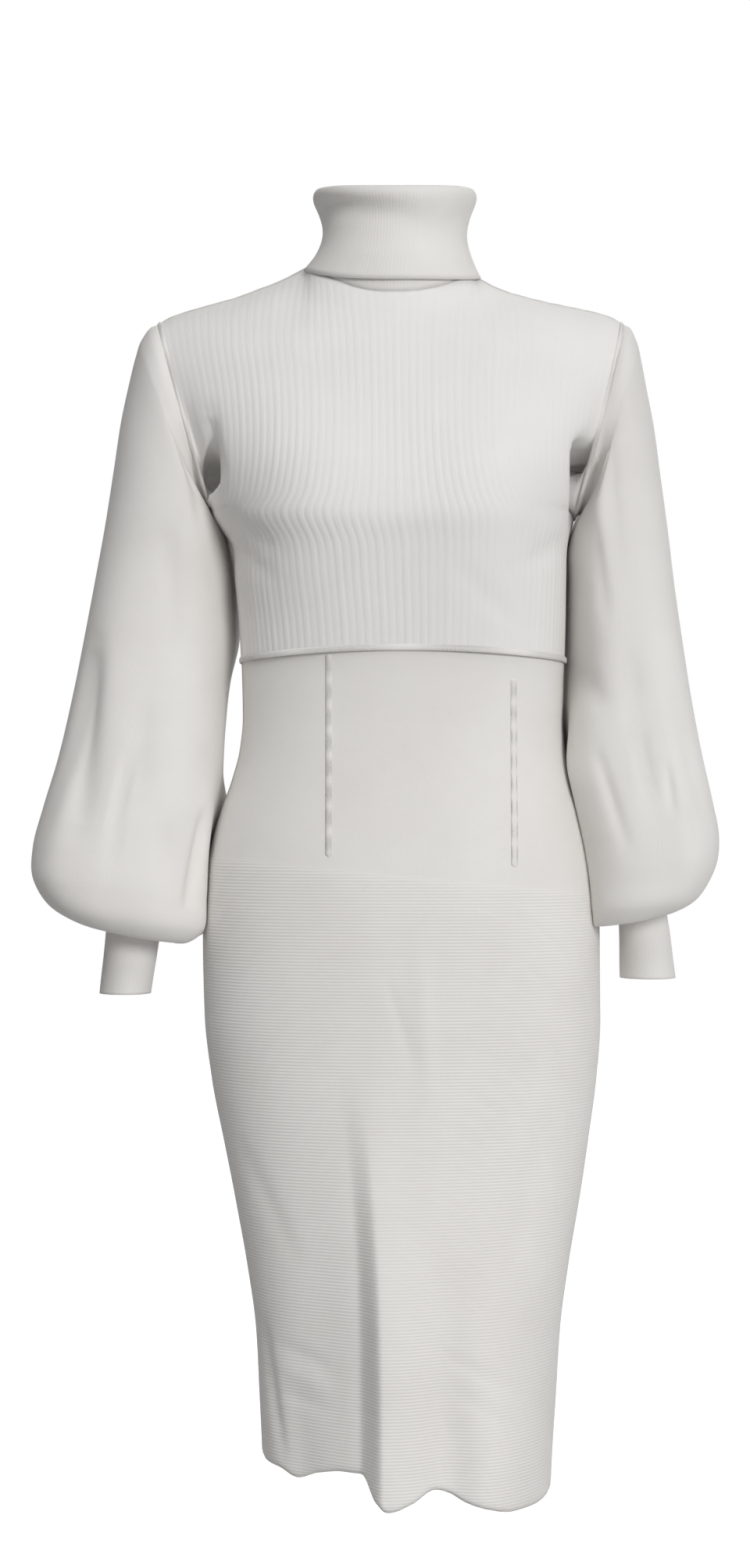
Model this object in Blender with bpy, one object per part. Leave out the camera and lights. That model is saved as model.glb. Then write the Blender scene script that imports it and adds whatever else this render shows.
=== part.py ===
"""Sweater dress in rib knit: folded turtleneck, lantern sleeves and a pencil skirt.

Each knitted piece is one closed wall of cloth, hollow and open as it is when worn.
Tables and sizes are in millimetres and the meshes are made in metres. +Z is up and the
front faces -Y. The origin is at the base of the neck, level with the shoulders, where the
wearer carries the dress. Left and right are the viewer's, facing the front.
"""

import math
from collections import namedtuple

import bmesh
import bpy
import numpy as np

# ------------------------------------------------------------------ driving dimensions, mm
WALL = 2.0                 # thickness of the knitted cloth
MITRE = 0.7                # each way of a slanting edge where cloth turns at a seam
SEAM_GAP = 0.3             # space between two pieces at a seam
SHOULDER_HALF = 192.0      # centre to the top of the armhole seam
SHOULDER_TIP_HEIGHT = -28.0
UNDERARM_HALF = 150.0      # centre to the bottom of the armhole seam
UNDERARM_HEIGHT = -190.0
ARMHOLE_FRONT = 52.0       # how far the armhole seam swings forward and back
ARMHOLE_BACK = 56.0
NECK_HALF_WIDTH = 69.0     # neckline seam, an ellipse seen from above
NECK_HALF_DEPTH = 61.0
NECK_FRONT_HEIGHT = -11.0
NECK_SIDE_HEIGHT = 19.5
NECK_BACK_HEIGHT = 25.0
NECK_RIGHT_DROP = 7.0      # the neckline and the collar over it sit lower on the right
NECK_SIDE_RISE = 2.2       # how late the neckline climbs to the shoulders
RIBS_PER_PANEL = 60        # raised wales across the bodice front, and as many across the back
RIBS_AT_NECKLINE = 20      # of those, the ones that end in the neckline
RIB_HEIGHT = 0.9
COLUMNS_PER_INNER_CELL = 4  # the plain inside of a ribbed wall has one cell for two ribs
WAIST_FRONT_HEIGHT = -301.5
WAIST_SIDE_HEIGHT = -308.5
WAIST_BACK_HEIGHT = -306.0
HEM_BACK_HEIGHT = -984.0
HEM_BACK_WAVE = 1.5        # the back hem's slight rise and fall
HEM_BACK_WAVES = 3
RIDGE_RISE = 1.6           # how proud the linked seam ridges stand
RIDGE_SEAT = 0.4           # space between a front ridge and the wall it lies on
WAIST_RIDGE_HALF_HEIGHT = 2.5
WAIST_RIDGE_CLEARANCE = 0.4  # room for the bend of the ribs between the ridge's points
FRONT_RIDGE_HALF_WIDTH = 2.0
CUFF_LENGTH = 57.5
COLLAR_SEAM_BEVEL = 0.6    # lift of the collar seam's inner edge
METRE = 0.001

LEFT = -1
RIGHT = 1
FRONT = -1
BACK = 1

YARN_COLOUR = (0.80, 0.78, 0.75, 1.0)
RIDGE_COLOUR = (0.86, 0.84, 0.81, 1.0)

# ------------------------------------------------------------------ section tables, mm
# Sideways lean of the worn dress: centre of the cloth at each height.
Lean = namedtuple("Lean", "height centre")
LEAN = (
    Lean(-1000, 8.5), Lean(-863, 9.5), Lean(-759, 9.0), Lean(-655, 6.2),
    Lean(-540, 3.9), Lean(-470, 3.8), Lean(-408, 4.4), Lean(-355, 5.2), Lean(-305, 5.2),
    Lean(-240, 3.2), Lean(-213, 2.2), Lean(-190, -2.5), Lean(-100, -4.5), Lean(0, -5.0),
    Lean(90, -2.0),
)

# Shoulder seams, from the neck outwards.
ShoulderPoint = namedtuple("ShoulderPoint", "reach left right")
SHOULDER_SEAM = (
    ShoulderPoint(69, 19.5, 12.5), ShoulderPoint(75, 16.0, 8.6), ShoulderPoint(82, 12.2, 4.8),
    ShoulderPoint(95, 6.0, -1.0), ShoulderPoint(111, 0.0, -5.8), ShoulderPoint(128, -6.4, -10.0),
    ShoulderPoint(150, -12.6, -14.6), ShoulderPoint(171, -18.7, -19.2),
    ShoulderPoint(183, -23.0, -23.0), ShoulderPoint(192, -28.0, -28.0),
)

# Bodice rows that end in the armhole seam. The arm angle runs from 0 at the shoulder tip to
# 180 at the underarm; sweep is how far round its ellipse the row bends before the seam.
ArmRow = namedtuple("ArmRow", "arm_angle depth height sweep squareness")
FRONT_ARM_ROWS = (
    ArmRow(54, 80, -45, 55, 1.0),
    ArmRow(80, 94, -84, 64, 0.97),
    ArmRow(106, 107, -122, 72, 0.94),
    ArmRow(132, 117, -155, 79, 0.92),
    ArmRow(157, 121, -178, 85, 0.90),
    ArmRow(180, 122, -195, 90, 0.88),
)
BACK_ARM_ROWS = (
    ArmRow(54, 85, -32, 52, 1.0),
    ArmRow(80, 97, -76, 62, 0.95),
    ArmRow(106, 103, -118, 72, 0.90),
    ArmRow(132, 105, -154, 79, 0.87),
    ArmRow(157, 103, -178, 85, 0.86),
    ArmRow(180, 100, -195, 90, 0.85),
)
FIRST_ROW_ANGLE = 28       # the row just below the shoulder seam
SHOULDER_ROUND = 8.0       # how far that row swells over the shoulder
SWELL_START = 0.25         # where the swell starts and is full, from middle to seam
SWELL_FULL = 0.60

# Bodice rows that end in the side seam.
SideRow = namedtuple("SideRow", "side_height half_width depth height squareness")
FRONT_SIDE_ROWS = (
    SideRow(-213, 139.5, 118, -219, 0.87),
    SideRow(-243, 137.2, 110, -246, 0.87),
    SideRow(-275, 135.4, 103, -274, 0.87),
    SideRow(WAIST_SIDE_HEIGHT, 134.0, 98, WAIST_FRONT_HEIGHT, 0.87),
)
BACK_SIDE_ROWS = (
    SideRow(-213, 139.5, 95, -219, 0.85),
    SideRow(-243, 137.2, 87, -247, 0.86),
    SideRow(-275, 135.4, 80, -276, 0.87),
    SideRow(WAIST_SIDE_HEIGHT, 134.0, 76, WAIST_BACK_HEIGHT, 0.87),
)

# Soft swells (negative) and troughs (positive) of a panel, along its depth.
Swell = namedtuple("Swell", "reach height half_width half_height depth")
BUST_SWELLS = (
    Swell(-72, -164, 42, 44, -9.0),
    Swell(72, -164, 42, 44, -9.0),
)
# The crease where the front turns in beside the armhole seam.
ARMHOLE_CREASE_PLACE = 0.955
ARMHOLE_CREASE_HALF_WIDTH = 0.028
ARMHOLE_CREASE_HEIGHT = -152.0
ARMHOLE_CREASE_HALF_HEIGHT = 26.0
ARMHOLE_CREASE_DEPTH = 7.0

SkirtRing = namedtuple("SkirtRing", "height half_width front back")
SKIRT_RINGS = (
    SkirtRing(-1000, 119, 86.5, 85.5), SkirtRing(-970, 120, 87, 86),
    SkirtRing(-915, 123, 88, 87), SkirtRing(-863, 126, 89.5, 88.5),
    SkirtRing(-811, 133, 91.5, 91), SkirtRing(-759, 142, 94.5, 95),
    SkirtRing(-707, 151, 98, 101), SkirtRing(-655, 159.5, 102, 109),
    SkirtRing(-603, 164, 105, 117), SkirtRing(-540, 164.5, 106, 121),
    SkirtRing(-486, 161.5, 105, 116), SkirtRing(-460, 157, 103.5, 110),
    SkirtRing(-434, 150, 101, 102), SkirtRing(-408, 141, 98, 93),
    SkirtRing(-382, 134.8, 95.5, 84), SkirtRing(-356, 132.6, 94.5, 78),
    SkirtRing(-330, 133, 95.5, 75.5), SkirtRing(-300, 134, 98, 76),
)
SKIRT_SQUARENESS = 0.87
SKIRT_ROWS = 16
SKIRT_FRONT_COLUMNS = 34
SKIRT_BACK_COLUMNS = 20
FRONT_RIDGE_ROWS = 4       # the vertical ridges end on this row of the skirt

# The uneven front hem, left to right.
HemPoint = namedtuple("HemPoint", "reach height")
FRONT_HEM = (
    HemPoint(-112, -968), HemPoint(-98, -969), HemPoint(-82, -975), HemPoint(-64, -968),
    HemPoint(-44, -965), HemPoint(-32, -968), HemPoint(-22, -980), HemPoint(-8, -988),
    HemPoint(14, -981), HemPoint(30, -975), HemPoint(40, -978), HemPoint(54, -986),
    HemPoint(74, -992), HemPoint(94, -996), HemPoint(112, -996), HemPoint(130, -994),
)

# Folds that run down the front of the skirt and deepen towards the hem.
Fold = namedtuple("Fold", "reach_top height_top reach_hem half_width depth")
SKIRT_FOLDS = (
    Fold(-32, -640, -38, 13, 33.0),    # the deep groove in the middle
    Fold(-8, -660, 0, 20, -25.0),      # the roll of cloth beside it
    Fold(34, -740, 40, 13, 9.0),       # the hollow right of the roll
    Fold(66, -700, 84, 30, -19.0),     # the cloth carried forward on the right
    Fold(-88, -820, -76, 10, 4.0),     # the shallow line on the left
)

# Sleeve rings: where the ring's outer and body sides are, how deep it is front and back, and
# how far back its body side is tucked, behind the side of the body.
SleeveRing = namedtuple("SleeveRing", "out_x out_z in_x in_z front back tuck")
LEFT_SLEEVE_RINGS = (
    SleeveRing(-203.0, -31, -156.5, -186.5, 55, 57, 3),
    SleeveRing(-211.0, -41, -157.5, -189.5, 57, 58, 12),
    SleeveRing(-216.5, -56, -152.5, -197, 59, 58, 24),
    SleeveRing(-222.0, -78, -144.5, -207, 60, 58, 34),
    SleeveRing(-228.3, -107, -137.5, -221, 60, 58, 42),
    SleeveRing(-235.2, -152, -133.8, -241, 60, 60, 46),
    SleeveRing(-242.2, -197, -132.0, -264, 59, 61, 47),
    SleeveRing(-250.2, -242, -132.8, -292, 60, 60, 40),
    SleeveRing(-259.0, -290, -139.5, -326, 62, 60, 22),
    SleeveRing(-268.8, -340, -143.0, -364, 65, 62, 10),
    SleeveRing(-280.5, -390, -145.0, -400, 69, 64, 10),
    SleeveRing(-292.5, -430, -149.5, -434, 73, 66, 14),
    SleeveRing(-301.0, -463, -157.0, -468, 76, 68, 10),
    SleeveRing(-300.0, -491, -161.5, -505, 76, 69, 6),
    SleeveRing(-285.0, -513, -165.5, -533, 68, 63, 4),
    SleeveRing(-261.0, -526, -183.0, -543, 49, 47, 0),
)
RIGHT_SLEEVE_RINGS = (
    SleeveRing(192.5, -31, 152.0, -186.5, 55, 57, 3),
    SleeveRing(198.5, -42, 153.0, -189.5, 57, 59, 12),
    SleeveRing(203.0, -60, 149.5, -197, 59, 60, 24),
    SleeveRing(207.0, -81, 144.5, -208, 60, 61, 34),
    SleeveRing(213.0, -112, 141.0, -222, 60, 63, 42),
    SleeveRing(219.0, -156, 141.0, -242, 60, 65, 46),
    SleeveRing(225.0, -201, 140.8, -266, 60, 68, 47),
    SleeveRing(230.2, -246, 140.5, -294, 61, 70, 48),
    SleeveRing(236.6, -293, 139.8, -328, 63, 73, 46),
    SleeveRing(243.8, -341, 140.0, -363, 67, 76, 30),
    SleeveRing(252.4, -387, 147.4, -398, 72, 80, 16),
    SleeveRing(260.8, -425, 157.2, -430, 76, 82, 10),
    SleeveRing(266.0, -454, 164.6, -460, 78, 84, 8),
    SleeveRing(262.4, -481, 170.2, -493, 77, 83, 6),
    SleeveRing(248.0, -505, 172.6, -516, 68, 75, 3),
    SleeveRing(232.0, -515, 173.2, -528.5, 50, 53, 0),
)
SLEEVE_SQUARENESS = 0.92
BODY_SIDE_SQUARENESS = 0.74  # the sleeves lie flatter against the body
TUCK_START = 3.0           # how late, round the ring, the tuck sets in
GATHER_DEPTH = 1.5         # gathers where the sleeve turns under into its cuff

# Soft hollows (positive) and ridges (negative) of the sleeves: angle round the sleeve from
# its outer side towards the front, in degrees, and height.
SleeveFold = namedtuple("SleeveFold", "angle height half_angle half_height depth")
LEFT_SLEEVE_FOLDS = (
    SleeveFold(38, -380, 11, 60, 3.0),
    SleeveFold(72, -430, 12, 40, 4.0),
    SleeveFold(140, -470, 14, 45, 4.0),
    SleeveFold(100, -250, 18, 60, 2.5),
    SleeveFold(-70, -440, 14, 50, 3.5),
    SleeveFold(-130, -400, 14, 60, 3.0),
)
RIGHT_SLEEVE_FOLDS = (
    SleeveFold(52, -400, 12, 45, 3.5),
    SleeveFold(95, -400, 13, 60, 3.5),
    SleeveFold(130, -330, 14, 60, 3.0),
    SleeveFold(120, -180, 14, 45, 3.0),
    SleeveFold(-60, -430, 14, 50, 3.5),
    SleeveFold(-120, -380, 14, 60, 3.0),
)

# Cuffs: place and size of the seam with the sleeve, and of the open end.
Cuff = namedtuple("Cuff", "top_x top_y top_z end_x end_y top_half end_half depth_ratio")
LEFT_CUFF = Cuff(-218.4, -2, -527, -225.0, -6, 22.6, 21.2, 1.18)
RIGHT_CUFF = Cuff(203.8, -2, -514, 208.6, -6, 19.7, 23.0, 1.22)
CUFF_MIDDLE_SHARE = 0.45

# The collar's section, from its seam with the body up the stand, over the roll, down the
# fall and back up inside it. Heights are at the side of the neck, with the drop or rise of
# the same line at the front and at the back.
Station = namedtuple("Station", "half_width half_depth height front_drop back_rise")
STAND_OUTSIDE = (
    Station(62.9, 59.0, 31.0, 20.0, 5.0),
    Station(57.4, 54.2, 49.0, 8.0, 5.0),
    Station(64.0, 58.4, 69.0, 6.5, 5.5),
)
FALL_INSIDE = (
    Station(67.4, 61.6, 76.0, 6.5, 5.5),
    Station(58.8, 55.6, 49.0, 8.0, 5.0),
    Station(64.6, 61.6, 29.0, 12.0, 5.0),
    Station(73.9, 64.2, 18.0, 19.2, 3.0),
)
FALL_OUTSIDE = (
    Station(75.9, 66.2, 17.0, 19.2, 3.0),
    Station(66.8, 64.0, 29.0, 12.0, 5.0),
    Station(60.8, 57.6, 48.5, 8.0, 5.0),
    Station(66.8, 61.8, 65.0, 7.0, 5.5),
    Station(70.4, 64.4, 75.0, 6.5, 5.5),
    Station(68.2, 62.2, 83.5, 6.0, 6.0),
)
STAND_INSIDE = (
    Station(63.8, 58.0, 81.0, 6.0, 6.0),
    Station(55.4, 52.2, 49.0, 8.0, 5.0),
    Station(61.4, 56.8, 29.0, 20.0, 5.0),
)
COLLAR_LEAN = 3.3          # how far the collar leans to the right, from its seam to its roll
COLLAR_LEAN_HEIGHT = 60.0
COLLAR_LEVEL_HEIGHT = 69.0  # above this both sides of the collar are level


# ------------------------------------------------------------------ curves and tables
def smooth_through(places, values, place):
    """Value of a smooth curve through a table that never overshoots its entries."""
    places = np.asarray(places, dtype=float)
    values = np.asarray(values, dtype=float)
    steps = np.diff(places)
    slopes = np.diff(values) / steps
    tangents = np.zeros(len(values))
    tangents[0] = slopes[0]
    tangents[-1] = slopes[-1]
    for i in range(1, len(values) - 1):
        if slopes[i - 1] * slopes[i] > 0:
            before = 2 * steps[i] + steps[i - 1]
            after = steps[i] + 2 * steps[i - 1]
            tangents[i] = (before + after) / (before / slopes[i - 1] + after / slopes[i])
    i = int(np.clip(np.searchsorted(places, place) - 1, 0, len(steps) - 1))
    t = min(max((place - places[i]) / steps[i], 0.0), 1.0)
    from_start = (1 + 2 * t) * (1 - t) ** 2 * values[i] + t * (1 - t) ** 2 * steps[i] * tangents[i]
    from_end = t * t * (3 - 2 * t) * values[i + 1] - t * t * (1 - t) * steps[i] * tangents[i + 1]
    return from_start + from_end


def from_table(table, column, place):
    """One named column of a table, read at a place in the table's first column."""
    places = [row[0] for row in table]
    return smooth_through(places, [getattr(row, column) for row in table], place)


def centre_at(height):
    return from_table(LEAN, "centre", height)


def ease(value):
    """Smooth step from 0 to 1."""
    t = min(max(value, 0.0), 1.0)
    return t * t * (3 - 2 * t)


def hump(distance, half_width):
    return math.exp(-0.5 * (distance / half_width) ** 2)


def unit(vector):
    return vector / np.linalg.norm(vector)


def spread_evenly(points, count):
    """Points at even spacing along a polyline."""
    points = np.asarray(points)
    lengths = np.concatenate([[0.0], np.cumsum(np.linalg.norm(np.diff(points, axis=0), axis=1))])
    wanted = np.linspace(0.0, lengths[-1], count)
    return np.column_stack([np.interp(wanted, lengths, points[:, k]) for k in range(3)])


def grid_normals(grid, outward, closed):
    """Unit normals of a grid of points; outward gives the side that they point to."""
    if closed:
        along = np.roll(grid, -1, axis=1) - np.roll(grid, 1, axis=1)
    else:
        along = np.gradient(grid, axis=1)
    down = np.gradient(grid, axis=0)
    normals = np.cross(along, down)
    normals /= np.linalg.norm(normals, axis=2, keepdims=True)
    if np.sum(normals * outward) < 0:
        normals = -normals
    return normals


# ------------------------------------------------------------------ armholes and neckline
def armhole_point(side, panel, angle):
    """A point of the armhole seam: a leaning ellipse from shoulder tip to underarm."""
    top_x = centre_at(SHOULDER_TIP_HEIGHT) + side * SHOULDER_HALF
    bottom_x = centre_at(UNDERARM_HEIGHT) + side * UNDERARM_HALF
    along = math.cos(math.radians(angle))
    swing = ARMHOLE_FRONT if panel == FRONT else ARMHOLE_BACK
    return np.array([
        (top_x + bottom_x) / 2 + along * (top_x - bottom_x) / 2,
        panel * swing * math.sin(math.radians(angle)),
        (SHOULDER_TIP_HEIGHT + UNDERARM_HEIGHT) / 2
        + along * (SHOULDER_TIP_HEIGHT - UNDERARM_HEIGHT) / 2,
    ])


def armhole_inward(side, panel, angle):
    """Direction from the outside of the cloth to its inside, at the armhole seam."""
    along = math.cos(math.radians(angle))
    across = math.sin(math.radians(angle))
    if along > 0:
        lengthwise = np.array([0.0, 0.0, -along])
    else:
        lengthwise = np.array([side * MITRE * along, 0.0, -MITRE * along])
    return unit(lengthwise + np.array([0.0, -panel * across, 0.0]))


def neckline_point(panel, angle):
    """A point of the neckline seam; the angle is 0 at the middle and 90 at the shoulder."""
    middle = NECK_FRONT_HEIGHT if panel == FRONT else NECK_BACK_HEIGHT
    shoulder = NECK_SIDE_HEIGHT - (NECK_RIGHT_DROP if angle > 0 else 0.0)
    turn = math.radians(angle)
    share = abs(math.sin(turn)) ** NECK_SIDE_RISE
    return np.array([
        centre_at(0) + NECK_HALF_WIDTH * math.sin(turn),
        panel * NECK_HALF_DEPTH * math.cos(turn),
        middle + (shoulder - middle) * share,
    ])


def top_edge(panel, columns):
    """Shoulder seam, neckline and shoulder seam, with even steps on each."""
    neckline_share = RIBS_AT_NECKLINE / RIBS_PER_PANEL
    points = []
    for place in np.linspace(-1.0, 1.0, columns + 1):
        reach = abs(place)
        side = LEFT if place < 0 else RIGHT
        if reach <= neckline_share:
            points.append(neckline_point(panel, 90 * place / neckline_share))
        else:
            along = (reach - neckline_share) / (1 - neckline_share)
            out = NECK_HALF_WIDTH + (SHOULDER_HALF - NECK_HALF_WIDTH) * along
            height = from_table(SHOULDER_SEAM, "left" if side == LEFT else "right", out)
            points.append(np.array([centre_at(0) + side * out, 0.0, height]))
    return np.array(points)


# ------------------------------------------------------------------ bodice
def bodice_row(left_edge, right_edge, middle, panel, sweep, squareness, columns):
    """A row of a bodice panel: a bend from one edge over the middle to the other."""
    last = math.radians(sweep)
    edge_drop = math.cos(last) ** squareness if sweep < 90 else 0.0
    points = []
    for place in np.linspace(-1.0, 1.0, 401):
        edge = left_edge if place < 0 else right_edge
        turn = abs(place) * last
        out = (math.sin(turn) / math.sin(last)) ** squareness
        lift = (max(math.cos(turn), 0.0) ** squareness - edge_drop) / (1 - edge_drop)
        points.append([
            middle[0] + (edge[0] - middle[0]) * out,
            edge[1] + (middle[1] - edge[1]) * lift,
            middle[2] + (edge[2] - middle[2]) * out ** 2,
        ])
    return spread_evenly(points, columns + 1)


def bodice_base(panel, arm_rows, side_rows):
    """Grid of a bodice panel's plain surface, from its top edge to the waist seam."""
    columns = 2 * RIBS_PER_PANEL
    lower = []
    for row in arm_rows:
        middle = np.array([centre_at(row.height), panel * row.depth, row.height])
        left = armhole_point(LEFT, panel, row.arm_angle)
        right = armhole_point(RIGHT, panel, row.arm_angle)
        lower.append(bodice_row(left, right, middle, panel, row.sweep, row.squareness, columns))
    for row in side_rows:
        middle = np.array([centre_at(row.height), panel * row.depth, row.height])
        left = np.array([centre_at(row.side_height) - row.half_width, 0.0, row.side_height])
        right = np.array([centre_at(row.side_height) + row.half_width, 0.0, row.side_height])
        lower.append(bodice_row(left, right, middle, panel, 90, row.squareness, columns))
    top = top_edge(panel, columns)
    second = (top + lower[0]) / 2
    for column, place in enumerate(np.linspace(-1.0, 1.0, columns + 1)):
        swell = SHOULDER_ROUND * ease((abs(place) - SWELL_START) / (SWELL_FULL - SWELL_START))
        second[column] += swell * np.array([0.2 * place, panel * 0.42, 0.88])
    second[0] = armhole_point(LEFT, panel, FIRST_ROW_ANGLE)
    second[-1] = armhole_point(RIGHT, panel, FIRST_ROW_ANGLE)
    grid = np.array([top, second] + lower)
    if panel == FRONT:
        shape_bust(grid)
    return grid


def shape_bust(grid):
    """Adds the bust swells and the creases beside the armholes to the front."""
    places = np.linspace(-1.0, 1.0, grid.shape[1])
    for row in grid:
        for column, place in enumerate(places):
            point = row[column]
            fade = ease((1 - abs(place)) / 0.25)
            for swell in BUST_SWELLS:
                near = hump(point[0] - swell.reach, swell.half_width)
                point[1] += fade * swell.depth * near * hump(point[2] - swell.height,
                                                            swell.half_height)
            beside = hump(abs(place) - ARMHOLE_CREASE_PLACE, ARMHOLE_CREASE_HALF_WIDTH)
            level = hump(point[2] - ARMHOLE_CREASE_HEIGHT, ARMHOLE_CREASE_HALF_HEIGHT)
            hold = ease((1 - abs(place)) / 0.03)
            point[1] += ARMHOLE_CREASE_DEPTH * beside * level * hold


def bodice_inward(grid, normals, panel, arm_angles):
    """Direction from outside to inside at each point, set square to each seam."""
    inward = -normals.copy()
    seam_columns = ((0, LEFT), (grid.shape[1] - 1, RIGHT))
    for column, side in seam_columns:
        for row in range(grid.shape[0]):
            if row < len(arm_angles):
                inward[row, column] = armhole_inward(side, panel, arm_angles[row])
            else:
                inward[row, column] = (-side, 0.0, 0.0)
    neckline = RIBS_AT_NECKLINE
    middle = grid.shape[1] // 2
    for column in range(1, grid.shape[1] - 1):
        if abs(column - middle) <= neckline:
            toward_neck = np.array([centre_at(0), 0.0, 0.0]) - grid[0, column]
            toward_neck[2] = 0.0
            inward[0, column] = unit(toward_neck)
        else:
            inward[0, column] = (0.0, 0.0, -1.0)
        level = inward[-1, column]
        level[2] = 0.0
        inward[-1, column] = unit(level)
    for column in (middle - neckline, middle + neckline):
        inward[0, column] = unit(inward[0, column] + np.array([0.0, 0.0, -1.0]))
    return inward


def make_bodice_panel(name, panel, arm_rows, side_rows, material):
    """A ribbed panel over a plain inside. Returns the armhole and neckline edges."""
    grid = bodice_base(panel, arm_rows, side_rows)
    grid[:, :, 1] += panel * SEAM_GAP / 2
    normals = grid_normals(grid, np.array([0.0, panel, 0.0]), closed=False)
    arm_angles = [0, FIRST_ROW_ANGLE] + [row.arm_angle for row in arm_rows]
    inward = bodice_inward(grid, normals, panel, arm_angles)
    inside = grid + WALL * inward
    outside = grid.copy()
    outside[1:, 1::2] += RIB_HEIGHT * normals[1:, 1::2]
    add_wall(name, outside, inside[:, ::COLUMNS_PER_INNER_CELL], material)
    arm_rows_count = len(arm_angles)
    edges = {}
    for column, side in ((0, LEFT), (-1, RIGHT)):
        edges[side] = (grid[:arm_rows_count, column], inside[:arm_rows_count, column])
    middle = grid.shape[1] // 2
    neck = slice(middle - RIBS_AT_NECKLINE, middle + RIBS_AT_NECKLINE + 1, 2)
    return edges, grid[0, neck], grid[-1, ::COLUMNS_PER_INNER_CELL], arm_angles


# ------------------------------------------------------------------ skirt
def waist_height(panel, out):
    """Height of the waist seam; out runs from 0 in the middle to 1 at the side seam."""
    middle = WAIST_FRONT_HEIGHT if panel == FRONT else WAIST_BACK_HEIGHT
    return middle + (WAIST_SIDE_HEIGHT - middle) * out ** 2


def hem_height(panel, reach, place):
    if panel == FRONT:
        return from_table(FRONT_HEM, "height", reach)
    left = FRONT_HEM[0].height
    right = FRONT_HEM[-1].height
    sides = left + (right - left) * (place + 1) / 2
    sag = (HEM_BACK_HEIGHT - (left + right) / 2) * (1 - place ** 2)
    wave = HEM_BACK_WAVE * math.sin(HEM_BACK_WAVES * math.pi * place)
    return sides + sag + wave * (1 - place ** 2)


def fold_depth(point_x, height):
    """Forward or backward push of the front folds at a place on the skirt."""
    push = 0.0
    for fold in SKIRT_FOLDS:
        run = (height - fold.height_top) / (HEM_BACK_HEIGHT - fold.height_top)
        if run > 0:
            reach = fold.reach_top + (fold.reach_hem - fold.reach_top) * min(run, 1.0)
            push += fold.depth * ease(run) * hump(point_x - reach, fold.half_width)
    return push


def skirt_base(panel, columns):
    """Grid of a skirt panel's surface, from the waist seam to the hem."""
    rows = []
    for down in np.linspace(0.0, 1.0, SKIRT_ROWS + 1):
        points = []
        for place in np.linspace(-1.0, 1.0, 601):
            turn = place * math.pi / 2
            out = math.copysign(abs(math.sin(turn)) ** SKIRT_SQUARENESS, place)
            swell = max(math.cos(turn), 0.0) ** SKIRT_SQUARENESS
            height = waist_height(panel, out)
            for _settle in range(2):
                width = from_table(SKIRT_RINGS, "half_width", height)
                point_x = centre_at(height) + out * width
                hem = hem_height(panel, point_x, place)
                height = waist_height(panel, out) * (1 - down) + hem * down
            width = from_table(SKIRT_RINGS, "half_width", height)
            depth = from_table(SKIRT_RINGS, "front" if panel == FRONT else "back", height)
            point_x = centre_at(height) + out * width
            point_y = panel * depth * swell
            if panel == FRONT:
                point_y += fold_depth(point_x, height) * ease(swell / 0.6)
            points.append([point_x, point_y, height])
        rows.append(spread_evenly(points, columns + 1))
    return np.array(rows)


def make_skirt_panel(name, panel, columns, material):
    grid = skirt_base(panel, columns)
    grid[:, :, 1] += panel * SEAM_GAP / 2
    grid[0, :, 2] -= SEAM_GAP
    normals = grid_normals(grid, np.array([0.0, panel, 0.0]), closed=False)
    inward = -normals
    inward[:, 0] = (1.0, 0.0, 0.0)
    inward[:, -1] = (-1.0, 0.0, 0.0)
    for column in range(1, columns):
        inward[0, column, 2] = 0.0
        inward[0, column] = unit(inward[0, column])
    add_wall(name, grid, grid + WALL * inward, material)
    return grid


# ------------------------------------------------------------------ ridges
def make_waist_ridge(front_edge, back_edge, material):
    """The linked seam: a band round the waist seam, clear of the ribs under it."""
    loop = np.concatenate([front_edge[:-1], back_edge[::-1][:-1]])
    loop[0, 1] = 0.0
    loop[len(front_edge) - 1, 1] = 0.0
    along = np.roll(loop, -1, axis=0) - np.roll(loop, 1, axis=0)
    out = np.column_stack([along[:, 1], -along[:, 0], np.zeros(len(loop))])
    out /= np.linalg.norm(out, axis=1, keepdims=True)
    if np.sum(out * (loop - loop.mean(axis=0))) < 0:
        out = -out
    inner = RIB_HEIGHT + SEAM_GAP + WAIST_RIDGE_CLEARANCE
    outer = inner + RIDGE_RISE
    half = WAIST_RIDGE_HALF_HEIGHT
    up = np.array([0.0, 0.0, 1.0])
    stations = [
        loop + inner * out + half * up,
        loop + outer * out + 0.5 * half * up,
        loop + outer * out - 0.5 * half * up,
        loop + inner * out - half * up,
    ]
    add_ring_tube("waist_ridge", stations, material)


def wall_point(grid, row, reach):
    """A point of a panel at a row, which may lie between two, and a place across it."""
    first = int(min(math.floor(row), grid.shape[0] - 2))
    share = row - first
    found = []
    for line in (grid[first], grid[first + 1]):
        found.append([reach, np.interp(reach, line[:, 0], line[:, 1]),
                      np.interp(reach, line[:, 0], line[:, 2])])
    found = np.array(found)
    return found[0] * (1 - share) + found[1] * share


def make_front_ridge(name, grid, reach, first_row, material):
    """A short raised ridge that lies on the skirt front, made from the wall's points."""
    sections = []
    rows = [first_row] + [row for row in range(FRONT_RIDGE_ROWS + 1) if row > first_row + 0.2]
    for row in rows:
        left = wall_point(grid, row, reach - FRONT_RIDGE_HALF_WIDTH)
        right = wall_point(grid, row, reach + FRONT_RIDGE_HALF_WIDTH)
        out = unit(np.array([right[1] - left[1], left[0] - right[0], 0.0]))
        low = RIDGE_SEAT
        high = low + RIDGE_RISE
        middle = (left + right) / 2
        sections.append([
            left + low * out,
            middle + (left - middle) * 0.5 + high * out,
            middle + (right - middle) * 0.5 + high * out,
            right + low * out,
        ])
    add_bar(name, np.array(sections), material)


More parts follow.
